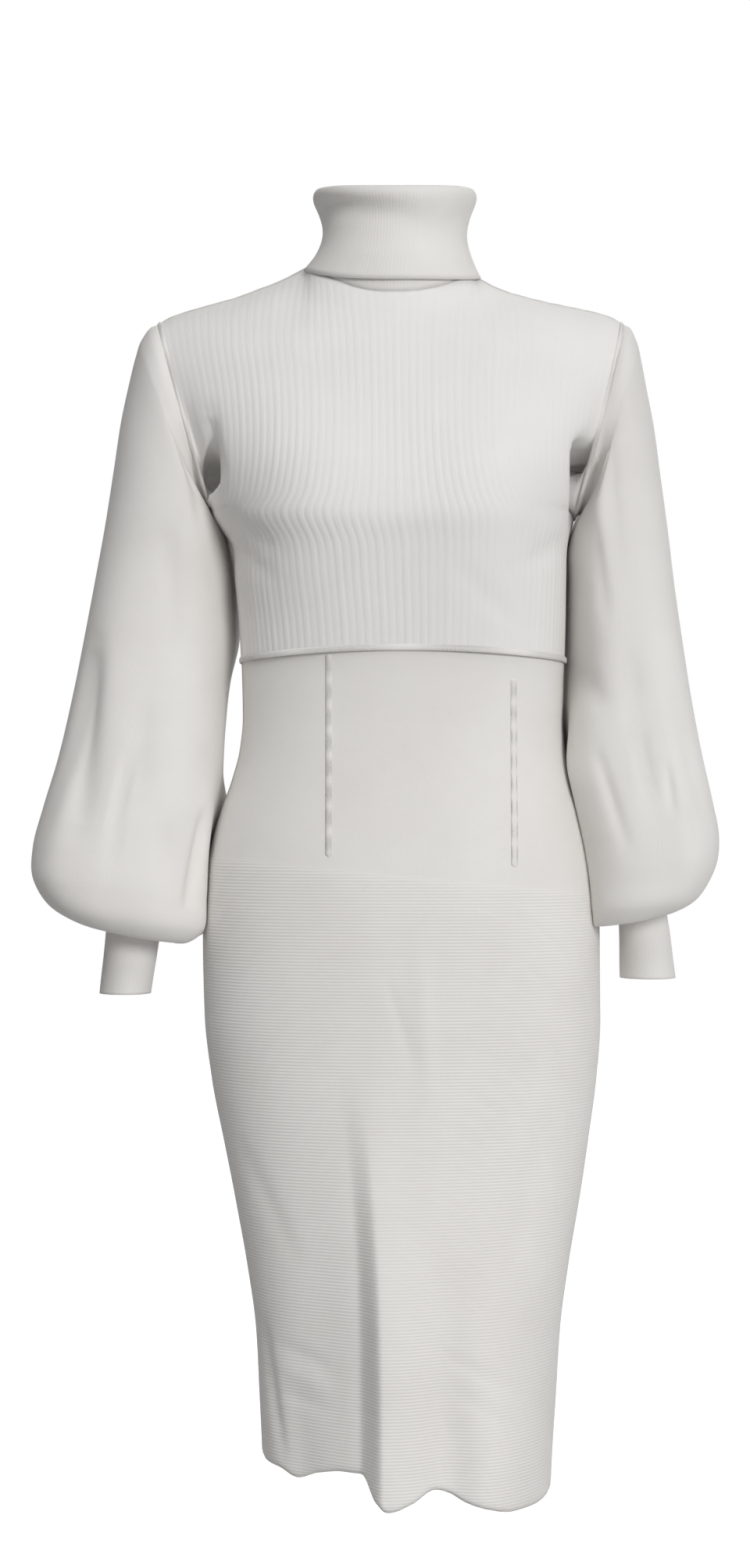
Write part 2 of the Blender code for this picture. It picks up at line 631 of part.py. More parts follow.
# ------------------------------------------------------------------ sleeves and cuffs
def armhole_loop(side, front_edges, back_edges):
    """The armhole seam all round, outside and inside, with a point added on each chord."""
    loops = []
    for layer in (0, 1):
        front = front_edges[side][layer]
        back = back_edges[side][layer][::-1]
        loop = np.concatenate([front, back[1:-1]])
        loop[0] = (front[0] + back[-1]) / 2
        loop[len(front) - 1] = (front[-1] + back[0]) / 2
        chords = (loop + np.roll(loop, -1, axis=0)) / 2
        merged = np.empty((2 * len(loop), 3))
        merged[0::2] = loop
        merged[1::2] = chords
        loops.append(merged)
    return loops


def loop_angles(arm_angles):
    """Angles round the sleeve that match the armhole loop, front half then back half."""
    marks = list(arm_angles) + [360 - angle for angle in arm_angles[-2:0:-1]] + [360]
    angles = []
    for start, end in zip(marks[:-1], marks[1:]):
        angles += [start, (start + end) / 2]
    return angles


def shifted_across_seam(side, outer, inner):
    """Moves a seam's points off it, square to the seam's face, towards the sleeve."""
    along = np.roll(outer, -1, axis=0) - np.roll(outer, 1, axis=0)
    across = np.cross(along, inner - outer)
    across /= np.linalg.norm(across, axis=1, keepdims=True)
    if np.sum(across[:, 0]) * side < 0:
        across = -across
    return outer + SEAM_GAP * across, inner + SEAM_GAP * across


def sleeve_ring(ring, side, angles):
    outer_side = np.array([ring.out_x, 0.0, ring.out_z])
    body_side = np.array([ring.in_x, 0.0, ring.in_z])
    middle = (outer_side + body_side) / 2
    half = (outer_side - body_side) / 2
    points = []
    for angle in angles:
        along = math.cos(math.radians(angle))
        across = math.sin(math.radians(angle))
        squareness = SLEEVE_SQUARENESS if along > 0 else BODY_SIDE_SQUARENESS
        along = math.copysign(abs(along) ** squareness, along)
        depth = ring.front if across > 0 else ring.back
        swing = -math.copysign(abs(across) ** squareness, across) * depth
        swing += ring.tuck * max(-along, 0.0) ** TUCK_START
        points.append(middle + along * half + np.array([0.0, swing, 0.0]))
    return np.array(points)


def cuff_rings(cuff, angles):
    """The cuff's outer rings, from its seam with the sleeve to its open end."""
    side = LEFT if cuff.top_x < 0 else RIGHT
    rings = []
    for share in (0.0, CUFF_MIDDLE_SHARE, 1.0):
        half = cuff.top_half + (cuff.end_half - cuff.top_half) * share
        middle = np.array([
            cuff.top_x + (cuff.end_x - cuff.top_x) * share,
            cuff.top_y + (cuff.end_y - cuff.top_y) * share,
            cuff.top_z - CUFF_LENGTH * share,
        ])
        ring = []
        for angle in angles:
            turn = math.radians(angle)
            ring.append(middle + half * np.array([
                side * math.cos(turn), -cuff.depth_ratio * math.sin(turn), 0.0]))
        rings.append(ring)
    return np.array(rings)


def make_sleeve(name, side, rings, folds, cuff, seam, angles, material):
    """A lantern sleeve, from the armhole seam to the gathered seam with its cuff."""
    start_outer, start_inner = shifted_across_seam(side, *seam)
    grid = [start_outer] + [sleeve_ring(ring, side, angles) for ring in rings]
    cuff_top = cuff_rings(cuff, angles)[0]
    toward_axis = cuff_top.mean(axis=0) - cuff_top
    toward_axis /= np.linalg.norm(toward_axis, axis=1, keepdims=True)
    up = np.array([0.0, 0.0, 1.0])
    cuff_seam = cuff_top + SEAM_GAP * (up - toward_axis)
    grid.append(cuff_seam)
    grid = np.array(grid)
    gathered = grid[-2]
    gathered[1::2] += GATHER_DEPTH * up
    centres = grid.mean(axis=1, keepdims=True)
    normals = grid_normals(grid, grid - centres, closed=True)
    for row in range(1, len(grid) - 2):
        for column, angle in enumerate(angles):
            push = 0.0
            for fold in folds:
                turn = (angle - fold.angle + 180) % 360 - 180
                level = hump(grid[row, column, 2] - fold.height, fold.half_height)
                push += fold.depth * hump(turn, fold.half_angle) * level
            grid[row, column] -= push * normals[row, column]
    normals = grid_normals(grid, grid - centres, closed=True)
    inside = grid - WALL * normals
    inside[0] = start_inner
    inside[-1] = cuff_seam + WALL * MITRE * (toward_axis + up)
    add_tube(name, grid, inside, material)


def make_cuff(name, cuff, angles, material):
    rings = cuff_rings(cuff, angles)
    toward_axis = rings.mean(axis=1, keepdims=True) - rings
    toward_axis /= np.linalg.norm(toward_axis, axis=2, keepdims=True)
    inside = rings + WALL * toward_axis
    inside[0] = rings[0] + WALL * MITRE * (toward_axis[0] + np.array([0.0, 0.0, 1.0]))
    add_tube(name, rings, inside, material)


# ------------------------------------------------------------------ collar
def collar_ring(station, seam):
    """A ring of the collar at one station of its section, point for point over its seam."""
    below = (COLLAR_LEVEL_HEIGHT - station.height) / (COLLAR_LEVEL_HEIGHT - NECK_SIDE_HEIGHT)
    right_drop = NECK_RIGHT_DROP * min(max(below, 0.0), 1.0)
    points = []
    for base in seam:
        turn_x = (base[0] - centre_at(0)) / NECK_HALF_WIDTH
        turn_y = base[1] / NECK_HALF_DEPTH
        size = math.hypot(turn_x, turn_y)
        turn_x /= size
        turn_y /= size
        if turn_y < 0:
            height = station.height - station.front_drop * turn_y ** 2
        else:
            height = station.height + station.back_rise * turn_y ** 2
        height -= right_drop * max(turn_x, 0.0) ** NECK_SIDE_RISE
        lean = centre_at(0) + COLLAR_LEAN * ease(height / COLLAR_LEAN_HEIGHT)
        points.append([lean + station.half_width * turn_x, station.half_depth * turn_y, height])
    return np.array(points)


def make_collar(front_neck, back_neck, material):
    """Stand, roll and fall of the folded turtleneck in one wall."""
    seam = np.concatenate([front_neck[:-1], back_neck[::-1][:-1]])
    half = len(front_neck) - 1
    seam[0] = (front_neck[0] + back_neck[0]) / 2
    seam[half] = (front_neck[-1] + back_neck[-1]) / 2
    seam[:, 2] += SEAM_GAP
    toward_neck = np.array([centre_at(0), 0.0, 0.0]) - seam
    toward_neck[:, 2] = 0.0
    toward_neck /= np.linalg.norm(toward_neck, axis=1, keepdims=True)
    stations = [seam]
    for station in STAND_OUTSIDE + FALL_INSIDE + FALL_OUTSIDE + STAND_INSIDE:
        stations.append(collar_ring(station, seam))
    stations.append(seam + WALL * toward_neck + np.array([0.0, 0.0, COLLAR_SEAM_BEVEL]))
    add_ring_tube("collar", stations, material)


# ------------------------------------------------------------------ meshes
def knit_material(name, colour, roughness):
    material = bpy.data.materials.new(name)
    material.use_nodes = True
    shader = material.node_tree.nodes["Principled BSDF"]
    shader.inputs["Base Color"].default_value = colour
    shader.inputs["Roughness"].default_value = roughness
    shader.inputs["Metallic"].default_value = 0.0
    material.diffuse_color = colour
    return material


def add_points(form, points):
    """New vertices of a bmesh for a grid of points in millimetres, as rows of a list."""
    return [[form.verts.new(point * METRE) for point in row] for row in points]


def join_rows(form, first, second, closed):
    """Faces between two rows of vertices of the same length."""
    count = len(first) if closed else len(first) - 1
    for i in range(count):
        j = (i + 1) % len(first)
        form.faces.new((first[i], first[j], second[j], second[i]))


def join_edge(form, fine, coarse):
    """Faces between a finely divided edge and a coarser one beside it."""
    ratio = (len(fine) - 1) // (len(coarse) - 1)
    half = ratio // 2
    for cell in range(len(coarse) - 1):
        near = coarse[cell]
        far = coarse[cell + 1]
        stretch = fine[cell * ratio:(cell + 1) * ratio + 1]
        if ratio == 1:
            form.faces.new((stretch[0], stretch[1], far, near))
            continue
        for i in range(half):
            form.faces.new((stretch[i], stretch[i + 1], near))
        form.faces.new((stretch[half], far, near))
        for i in range(half, ratio):
            form.faces.new((stretch[i], stretch[i + 1], far))


def finish_object(name, form, material):
    bmesh.ops.recalc_face_normals(form, faces=form.faces)
    mesh = bpy.data.meshes.new(name)
    form.to_mesh(mesh)
    form.free()
    mesh.shade_smooth()
    mesh.set_sharp_from_angle(angle=math.radians(50))
    mesh.materials.append(material)
    piece = bpy.data.objects.new(name, mesh)
    bpy.context.collection.objects.link(piece)
    return piece


def add_wall(name, outside, inside, material):
    """A panel: an outer and an inner grid joined along all four edges."""
    form = bmesh.new()
    outer = add_points(form, outside)
    inner = add_points(form, inside)
    for grid in (outer, inner):
        for first, second in zip(grid[:-1], grid[1:]):
            join_rows(form, first, second, closed=False)
    join_edge(form, outer[0], inner[0])
    join_edge(form, outer[-1], inner[-1])
    for column in (0, -1):
        join_rows(form, [row[column] for row in outer], [row[column] for row in inner],
                  closed=False)
    finish_object(name, form, material)


def add_tube(name, outside, inside, material):
    """A tube of cloth, open at both ends."""
    form = bmesh.new()
    outer = add_points(form, outside)
    inner = add_points(form, inside)
    for grid in (outer, inner):
        for first, second in zip(grid[:-1], grid[1:]):
            join_rows(form, first, second, closed=True)
    for row in (0, -1):
        join_rows(form, outer[row], inner[row], closed=True)
    finish_object(name, form, material)


def add_ring_tube(name, stations, material):
    """A closed band: the rings of its section joined in turn and back to the first."""
    form = bmesh.new()
    rows = add_points(form, stations)
    for index, row in enumerate(rows):
        join_rows(form, row, rows[(index + 1) % len(rows)], closed=True)
    finish_object(name, form, material)


def add_bar(name, sections, material):
    """A solid strip with a cap at each end."""
    form = bmesh.new()
    rows = add_points(form, sections)
    for first, second in zip(rows[:-1], rows[1:]):
        join_rows(form, first, second, closed=True)
    form.faces.new(rows[0])
    form.faces.new(rows[-1])
    finish_object(name, form, material)


# ------------------------------------------------------------------ the dress
def clear_scene():
    for piece in list(bpy.data.objects):
        bpy.data.objects.remove(piece, do_unlink=True)


def build_dress():
    ribbed = knit_material("ribbed_knit", YARN_COLOUR, 0.9)
    smooth = knit_material("smooth_knit", YARN_COLOUR, 0.92)
    fine_rib = knit_material("fine_rib_knit", YARN_COLOUR, 0.88)
    linked = knit_material("linked_seam", RIDGE_COLOUR, 0.85)

    front_arms, front_neck, front_waist, arm_angles = make_bodice_panel(
        "bodice_front", FRONT, FRONT_ARM_ROWS, FRONT_SIDE_ROWS, ribbed)
    back_arms, back_neck, back_waist, _ = make_bodice_panel(
        "bodice_back", BACK, BACK_ARM_ROWS, BACK_SIDE_ROWS, ribbed)
    make_collar(front_neck, back_neck, fine_rib)

    front_skirt = make_skirt_panel("skirt_front", FRONT, SKIRT_FRONT_COLUMNS, smooth)
    make_skirt_panel("skirt_back", BACK, SKIRT_BACK_COLUMNS, smooth)
    make_waist_ridge(front_waist, back_waist, linked)
    make_front_ridge("front_ridge_left", front_skirt, -55.0, 0.09, linked)
    make_front_ridge("front_ridge_right", front_skirt, 94.0, 0.55, linked)

    angles = loop_angles(arm_angles)
    sleeves = (
        ("left", LEFT, LEFT_SLEEVE_RINGS, LEFT_SLEEVE_FOLDS, LEFT_CUFF),
        ("right", RIGHT, RIGHT_SLEEVE_RINGS, RIGHT_SLEEVE_FOLDS, RIGHT_CUFF),
    )
    for word, side, rings, folds, cuff in sleeves:
        seam = armhole_loop(side, front_arms, back_arms)
        make_sleeve("sleeve_" + word, side, rings, folds, cuff, seam, angles, smooth)
        make_cuff("cuff_" + word, cuff, angles, fine_rib)


clear_scene()
build_dress()
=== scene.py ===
import math
from collections import namedtuple

import bmesh
import bpy
import numpy as np
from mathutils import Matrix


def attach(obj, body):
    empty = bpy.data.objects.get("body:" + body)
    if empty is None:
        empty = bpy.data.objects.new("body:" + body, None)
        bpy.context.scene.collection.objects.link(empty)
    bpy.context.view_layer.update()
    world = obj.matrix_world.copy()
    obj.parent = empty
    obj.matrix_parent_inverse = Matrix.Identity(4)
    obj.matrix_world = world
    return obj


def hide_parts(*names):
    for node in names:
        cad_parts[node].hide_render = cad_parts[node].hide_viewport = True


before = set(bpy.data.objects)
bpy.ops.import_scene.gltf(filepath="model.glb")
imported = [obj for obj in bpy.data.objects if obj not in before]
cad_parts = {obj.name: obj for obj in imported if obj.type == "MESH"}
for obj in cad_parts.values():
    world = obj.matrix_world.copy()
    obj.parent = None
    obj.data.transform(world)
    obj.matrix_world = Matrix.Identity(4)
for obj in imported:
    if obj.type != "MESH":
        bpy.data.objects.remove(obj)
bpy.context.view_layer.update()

# ==================================================================== bodice panels
# The front and the back are rib-knitted panels of ivory wool-look yarn: sixty raised wales
# each, shaped by the fullness of the bust, and linked to each other at shoulders and sides.
# Tables are in millimetres; left and right are the viewer's, facing the front.
MM = 0.001
LEFT, RIGHT = -1, 1
FRONT, BACK = -1, 1
CLOTH = 1.9                # thickness of the knit
SEAM_GAP = 0.3
RIBS = 60
RIBS_AT_NECKLINE = 24
NECKLINE_EVENNESS = 0.90   # near 1 the ribs at the neckline are spaced evenly across
RIB_HEIGHT_TOP, RIB_HEIGHT_WAIST = 0.20, 0.38
RIB_FADE_AT_SIDES = 0.45
RIB_SECTION = (0.0, 0.66, 0.93, 1.0, 0.93, 0.66)   # one wale, from valley to valley
WALES_PER_RIB = 4
COURSE = 1.3               # height of one row of loops
SHOULDER_HALF, SHOULDER_TIP_HEIGHT = 192.0, -28.0
UNDERARM_HALF, UNDERARM_HEIGHT = 150.0, -190.0
ARMHOLE_SWING = {FRONT: 52.0, BACK: 56.0}
NECK_HALF_WIDTH, NECK_HALF_DEPTH = 69.0, 61.0
NECK_MIDDLE_HEIGHT = {FRONT: -11.0, BACK: 25.0}
NECK_SIDE_HEIGHT, NECK_RIGHT_DROP, NECK_SIDE_RISE = 19.5, 7.0, 2.2
WAIST_HEIGHT = {FRONT: -301.5, BACK: -306.0}
WAIST_SIDE_HEIGHT = -308.5


def rows_of(kind, *rows):
    """A table whose rows all have the named columns of one kind."""
    return tuple(kind(*row) for row in rows)


Lean = namedtuple("Lean", "height centre")
LEAN = rows_of(
    Lean,
    (-1000, 8.5), (-863, 9.5), (-759, 9.0), (-655, 6.2),
    (-540, 3.9), (-470, 3.8), (-408, 4.4), (-355, 5.2), (-305, 5.2),
    (-240, 3.2), (-213, 2.2), (-190, -2.5), (-100, -4.5), (0, -5.0),
    (90, -2.0),
)
ShoulderPoint = namedtuple("ShoulderPoint", "reach left right")
SHOULDER_SEAM = rows_of(
    ShoulderPoint,
    (69, 19.5, 12.5), (75, 16.0, 8.6), (82, 12.2, 4.8),
    (95, 6.0, -1.0), (111, 0.0, -5.8), (128, -6.4, -10.0),
    (150, -12.6, -14.6), (171, -18.7, -19.2),
    (183, -23.0, -23.0), (192, -28.0, -28.0),
)
ArmRow = namedtuple("ArmRow", "arm_angle depth height sweep squareness")
ARM_ROWS = {
    FRONT: rows_of(
        ArmRow,
        (54, 80, -45, 55, 1.0), (80, 94, -84, 64, 0.97),
        (106, 107, -122, 72, 0.94), (132, 117, -155, 79, 0.92),
        (157, 121, -178, 85, 0.90), (180, 122, -195, 90, 0.88),
    ),
    BACK: rows_of(
        ArmRow,
        (54, 85, -32, 52, 1.0), (80, 97, -76, 62, 0.95),
        (106, 103, -118, 72, 0.90), (132, 105, -154, 79, 0.87),
        (157, 103, -178, 85, 0.86), (180, 100, -195, 90, 0.85),
    ),
}
SideRow = namedtuple("SideRow", "side_height half_width depth height squareness")
SIDE_ROWS = {
    FRONT: rows_of(
        SideRow,
        (-213, 139.5, 116.6, -219, 0.87), (-243, 137.2, 110.4, -246, 0.87),
        (-275, 135.4, 104, -274, 0.87), (-308.5, 134.0, 98, -301.5, 0.87),
    ),
    BACK: rows_of(
        SideRow,
        (-213, 139.5, 95, -219, 0.85), (-243, 137.2, 87, -247, 0.86),
        (-275, 135.4, 80, -276, 0.87), (-308.5, 134.0, 76, -306, 0.87),
    ),
}
FIRST_ROW_ANGLE = 28
NECK_SOFT_ROWS, NECK_SOFTENING = 24, 7     # the corners of the neckline fade out below
SHOULDER_ROUND, SWELL_START, SWELL_FULL = 8.0, 0.25, 0.60
SWELL_ACROSS, SWELL_OUT, SWELL_UP = 0.2, 0.42, 0.88   # the way the shoulders swell
EDGE_FADE, BUST_FADE = 0.03, 0.25          # shares of the panel, from its side edges
BUST_REACH, BUST_HEIGHT, BUST_WIDTH, BUST_FULLNESS = 84, -164, 37, 10.0
BUST_TALL_ABOVE, BUST_TALL_BELOW = 44, 80
ARMHOLE_CREASE_PLACE, ARMHOLE_CREASE_WIDTH = 0.955, 0.028
ARMHOLE_CREASE_HEIGHT, ARMHOLE_CREASE_TALL, ARMHOLE_CREASE_DEPTH = -152, 26, 7.0
PIT_REACH, PIT_HEIGHT, PIT_WIDTH, PIT_TALL, PIT_DEPTH = -150.5, -158, 5.0, 10, 48.0

# Soft troughs, or ridges where the depth is negative, along a bend of three points seen
# face on; the half width runs from the first to the last point.
Crease = namedtuple("Crease", "x0 z0 x1 z1 x2 z2 first last depth")
BEND_POINTS, BEND_END, BEND_TAPER = 13, 0.02, 0.6
FACING_FULL = 0.3          # how far the cloth faces forwards where a crease is at its full
BODICE_CREASES = {
    FRONT: rows_of(
        Crease,
        (-153, -112, -152, -150, -150, -176, 8, 5, 8.0),
        (152, -130, 153, -152, 147, -206, 7, 4, 12.0),
        (150, -137, 151, -158, 147, -202, 6, 3.5, 36.0),
        (-157, -182, -150, -176, -141, -166, 3, 3, -5.0),
        (-140, -190, -122, -206, -98, -222, 6, 9, 2.4),
        (-138, -206, -118, -232, -98, -246, 6, 8, 1.8),
        (138, -208, 120, -226, 96, -238, 7, 9, 2.0),
        (-92, -286, -60, -262, -40, -232, 7, 10, 1.0),
        (98, -284, 70, -262, 48, -236, 7, 10, 1.0),
    ),
    BACK: rows_of(
        Crease,
        (-146, -130, -146, -156, -142, -190, 8, 5, 6.0),
        (146, -126, 146, -156, 142, -190, 8, 5, 6.0),
        (-138, -196, -112, -222, -80, -240, 7, 10, 2.2),
        (138, -198, 108, -226, 74, -246, 7, 10, 2.4),
        (-110, -268, -60, -276, -6, -272, 6, 9, 2.0),
        (104, -258, 60, -270, 18, -268, 6, 9, 1.8),
        (-70, -20, -20, -34, 40, -30, 10, 12, 1.4),
    ),
}


def cubic(t, step, start, end, start_slope, end_slope):
    """A cubic bend from start to end over a step, with a slope at each of them."""
    return ((1 + 2 * t) * (1 - t) ** 2 * start + t * (1 - t) ** 2 * step * start_slope
            + t * t * (3 - 2 * t) * end - t * t * (1 - t) * step * end_slope)


def through(places, values, place):
    """A smooth curve through a table that never overshoots its entries."""
    places, values = np.asarray(places, float), np.asarray(values, float)
    steps = np.diff(places)
    slopes = np.diff(values) / steps
    tangents = np.zeros(len(values))
    tangents[0], tangents[-1] = slopes[0], slopes[-1]
    for i in range(1, len(values) - 1):
        if slopes[i - 1] * slopes[i] > 0:
            before = 2 * steps[i] + steps[i - 1]
            after = steps[i] + 2 * steps[i - 1]
            tangents[i] = (before + after) / (before / slopes[i - 1] + after / slopes[i])
    i = np.clip(np.searchsorted(places, place) - 1, 0, len(steps) - 1)
    t = np.clip((place - places[i]) / steps[i], 0.0, 1.0)
    return cubic(t, steps[i], values[i], values[i + 1], tangents[i], tangents[i + 1])


def from_table(table, column, place):
    return through([row[0] for row in table], [getattr(row, column) for row in table], place)


def centre_at(height):
    return from_table(LEAN, "centre", height)


def ease(value):
    t = np.clip(value, 0.0, 1.0)
    return t * t * (3 - 2 * t)


def hump(distance, half_width):
    return np.exp(-0.5 * (distance / half_width) ** 2)


def unit(vectors):
    return vectors / np.linalg.norm(vectors, axis=-1, keepdims=True)


def spread_evenly(points, count):
    """Points at even spacing along a line of points."""
    lengths = np.concatenate([[0.0], np.cumsum(np.linalg.norm(np.diff(points, axis=0), axis=1))])
    wanted = np.linspace(0.0, lengths[-1], count)
    return np.column_stack([np.interp(wanted, lengths, points[:, k]) for k in range(3)])


def soft_rows(rows, count, crowd=None):
    """A fine grid whose lines bend softly through every given row. crowd sets where the
    fine rows gather, as shares from 0 to 1."""
    rows = np.asarray(rows, float)
    steps = np.linalg.norm(np.diff(rows, axis=0), axis=2).mean(axis=1)
    marks = np.concatenate([[0.0], np.cumsum(steps)])
    slopes = np.diff(rows, axis=0) / steps[:, None, None]
    tangents = np.empty_like(rows)
    tangents[0], tangents[-1] = slopes[0], slopes[-1]
    share = (steps[:-1] / (steps[:-1] + steps[1:]))[:, None, None]
    tangents[1:-1] = slopes[:-1] * (1 - share) + slopes[1:] * share
    place = (np.linspace(0, 1, count) if crowd is None else crowd) * marks[-1]
    i = np.clip(np.searchsorted(marks, place) - 1, 0, len(steps) - 1)
    t = ((place - marks[i]) / steps[i])[:, None, None]
    fine = cubic(t, steps[i][:, None, None], rows[i], rows[i + 1], tangents[i],
                 tangents[i + 1])
    return fine, np.interp(place, marks, np.arange(len(marks)))


def outward_normals(grid, closed, outward):
    """Unit normals of a grid of points, towards the side that outward gives."""
    if closed:
        along = np.roll(grid, -1, axis=1) - np.roll(grid, 1, axis=1)
    else:
        along = np.gradient(grid, axis=1)
    normals = unit(np.cross(along, np.gradient(grid, axis=0)))
    return normals if np.sum(normals * outward) > 0 else -normals


def creased(grid, normals, creases, panel, held=1.0):
    """The grid with its soft creases pressed in on the front or the back; held is the share
    of their depth at each point."""
    facing = ease(panel * normals[..., 1] / FACING_FULL)
    push = np.zeros(grid.shape[:2])
    for crease in creases:
        t = np.linspace(0, 1, BEND_POINTS)[:, None]
        ends = np.array(crease[:6], float).reshape(3, 2)
        line = (1 - t) ** 2 * ends[0] + 2 * t * (1 - t) * ends[1] + t * t * ends[2]
        nearest = np.full(grid.shape[:2], np.inf)
        along = np.zeros(grid.shape[:2])
        for k in range(len(line) - 1):
            run = line[k + 1] - line[k]
            from_start = grid[..., ::2] - line[k]
            share = np.clip(from_start @ run / (run @ run), 0, 1)
            gap = np.linalg.norm(from_start - share[..., None] * run, axis=2)
            closer = gap < nearest
            nearest = np.where(closer, gap, nearest)
            along = np.where(closer, (k + share) / (len(line) - 1), along)
        half_width = crease.first + (crease.last - crease.first) * along
        taper = np.sin(np.pi * np.clip(along, BEND_END, 1 - BEND_END)) ** BEND_TAPER
        push += crease.depth * taper * np.exp(-(nearest / half_width) ** 2)
    return grid - (push * facing * held)[..., None] * normals


def laid_mesh(name, grid, closed, round_section=False):
    """A bmesh grid with its vertices laid on a grid of points; a tube's edges are merged."""
    if closed:
        grid = np.concatenate([grid, grid[:, :1]], axis=1)
    if round_section:
        grid = np.concatenate([grid, grid[:1]], axis=0)
    form = bmesh.new()
    form.loops.layers.uv.new("loops")
    bmesh.ops.create_grid(form, x_segments=grid.shape[1] - 1, y_segments=grid.shape[0] - 1,
                          size=1.0, calc_uvs=True)
    mesh = bpy.data.meshes.new(name)
    form.to_mesh(mesh)
    flat = np.empty(3 * len(mesh.vertices))
    mesh.vertices.foreach_get("co", flat)
    across = np.rint((flat[0::3] + 1) / 2 * (grid.shape[1] - 1)).astype(int)
    down = np.rint((1 - flat[1::3]) / 2 * (grid.shape[0] - 1)).astype(int)
    mesh.vertices.foreach_set("co", (grid[down, across] * MM).ravel())
    form.clear()
    form.from_mesh(mesh)
    if closed or round_section:
        bmesh.ops.remove_doubles(form, verts=form.verts, dist=1e-6)
    form.to_mesh(mesh)
    form.free()
    return mesh


def placed(name, data):
    """A new object in the scene."""
    made = bpy.data.objects.new(name, data)
    bpy.context.scene.collection.objects.link(made)
    return made


def knitted(name, grid, closed, outward, material, nodes=(), thickness=CLOTH,
            round_section=False):
    """A knitted piece: cloth laid on a grid of points, thickened towards its inside."""
    mesh = laid_mesh(name, grid, closed, round_section)
    facing = np.empty(3 * len(mesh.polygons))
    middles = np.empty(3 * len(mesh.polygons))
    mesh.polygons.foreach_get("normal", facing)
    mesh.polygons.foreach_get("center", middles)
    if np.sum(facing.reshape(-1, 3) * outward(middles.reshape(-1, 3) / MM)) < 0:
        mesh.flip_normals()
    mesh.shade_smooth()
    mesh.materials.append(material)
    piece = placed(name, mesh)
    if thickness:
        wall = piece.modifiers.new("cloth", "SOLIDIFY")
        wall.thickness = thickness * MM
        wall.offset = -1.0
    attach(piece, "root")
    if nodes:
        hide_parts(*nodes)
    return piece


class Shade:
    """One socket of a material; sums and products of it add Math nodes."""

    def __init__(self, tree, socket=None):
        self.tree = tree
        self.socket = socket

    def node(self, kind, settings=(), inputs=(), output=0):
        """A shader node with its settings made first and then its sockets fed."""
        made = self.tree.nodes.new("ShaderNode" + kind)
        for name, value in dict(settings).items():
            setattr(made, name, value)
        for name, value in dict(inputs).items():
            if isinstance(value, Shade):
                self.tree.links.new(value.socket, made.inputs[name])
            else:
                made.inputs[name].default_value = value
        return Shade(self.tree, made.outputs[output])

    def maths(self, operation, *values):
        return self.node("Math", {"operation": operation}, enumerate(values))

    def __add__(self, other):
        return self.maths("ADD", self, other)

    def __sub__(self, other):
        return self.maths("SUBTRACT", self, other)

    def __rsub__(self, other):
        return self.maths("SUBTRACT", other, self)

    def __mul__(self, other):
        return self.maths("MULTIPLY", self, other)

    __radd__ = __add__
    __rmul__ = __mul__


IVORY = (0.800, 0.782, 0.755, 1.0)
IVORY_SHADED = (0.745, 0.722, 0.690, 1.0)
IVORY_LIT = (0.845, 0.832, 0.812, 1.0)
YARN_ROUGHNESS, YARN_SPECULAR = 0.88, 0.25
YARN_FUZZ, FUZZ_ROUGHNESS = 0.12, 0.45
FIBRE_ROUGHNESS, FIBRE_RELIEF = 0.12, 0.25
LOOP_SLANT, LOOP_LOW = 1.5, 0.3            # courses that a loop leans, and its low end
DYE_SCALE, FIBRE_SCALE = 9.0, 900.0
LIT_SHARE = 0.25                           # of loops and of fibres in the yarn's tone
# Raised rows of purl below a line that slants from left to right over a span, in mm.
PurlRows = namedtuple("PurlRows", "pitch relief left_height right_height span fade")


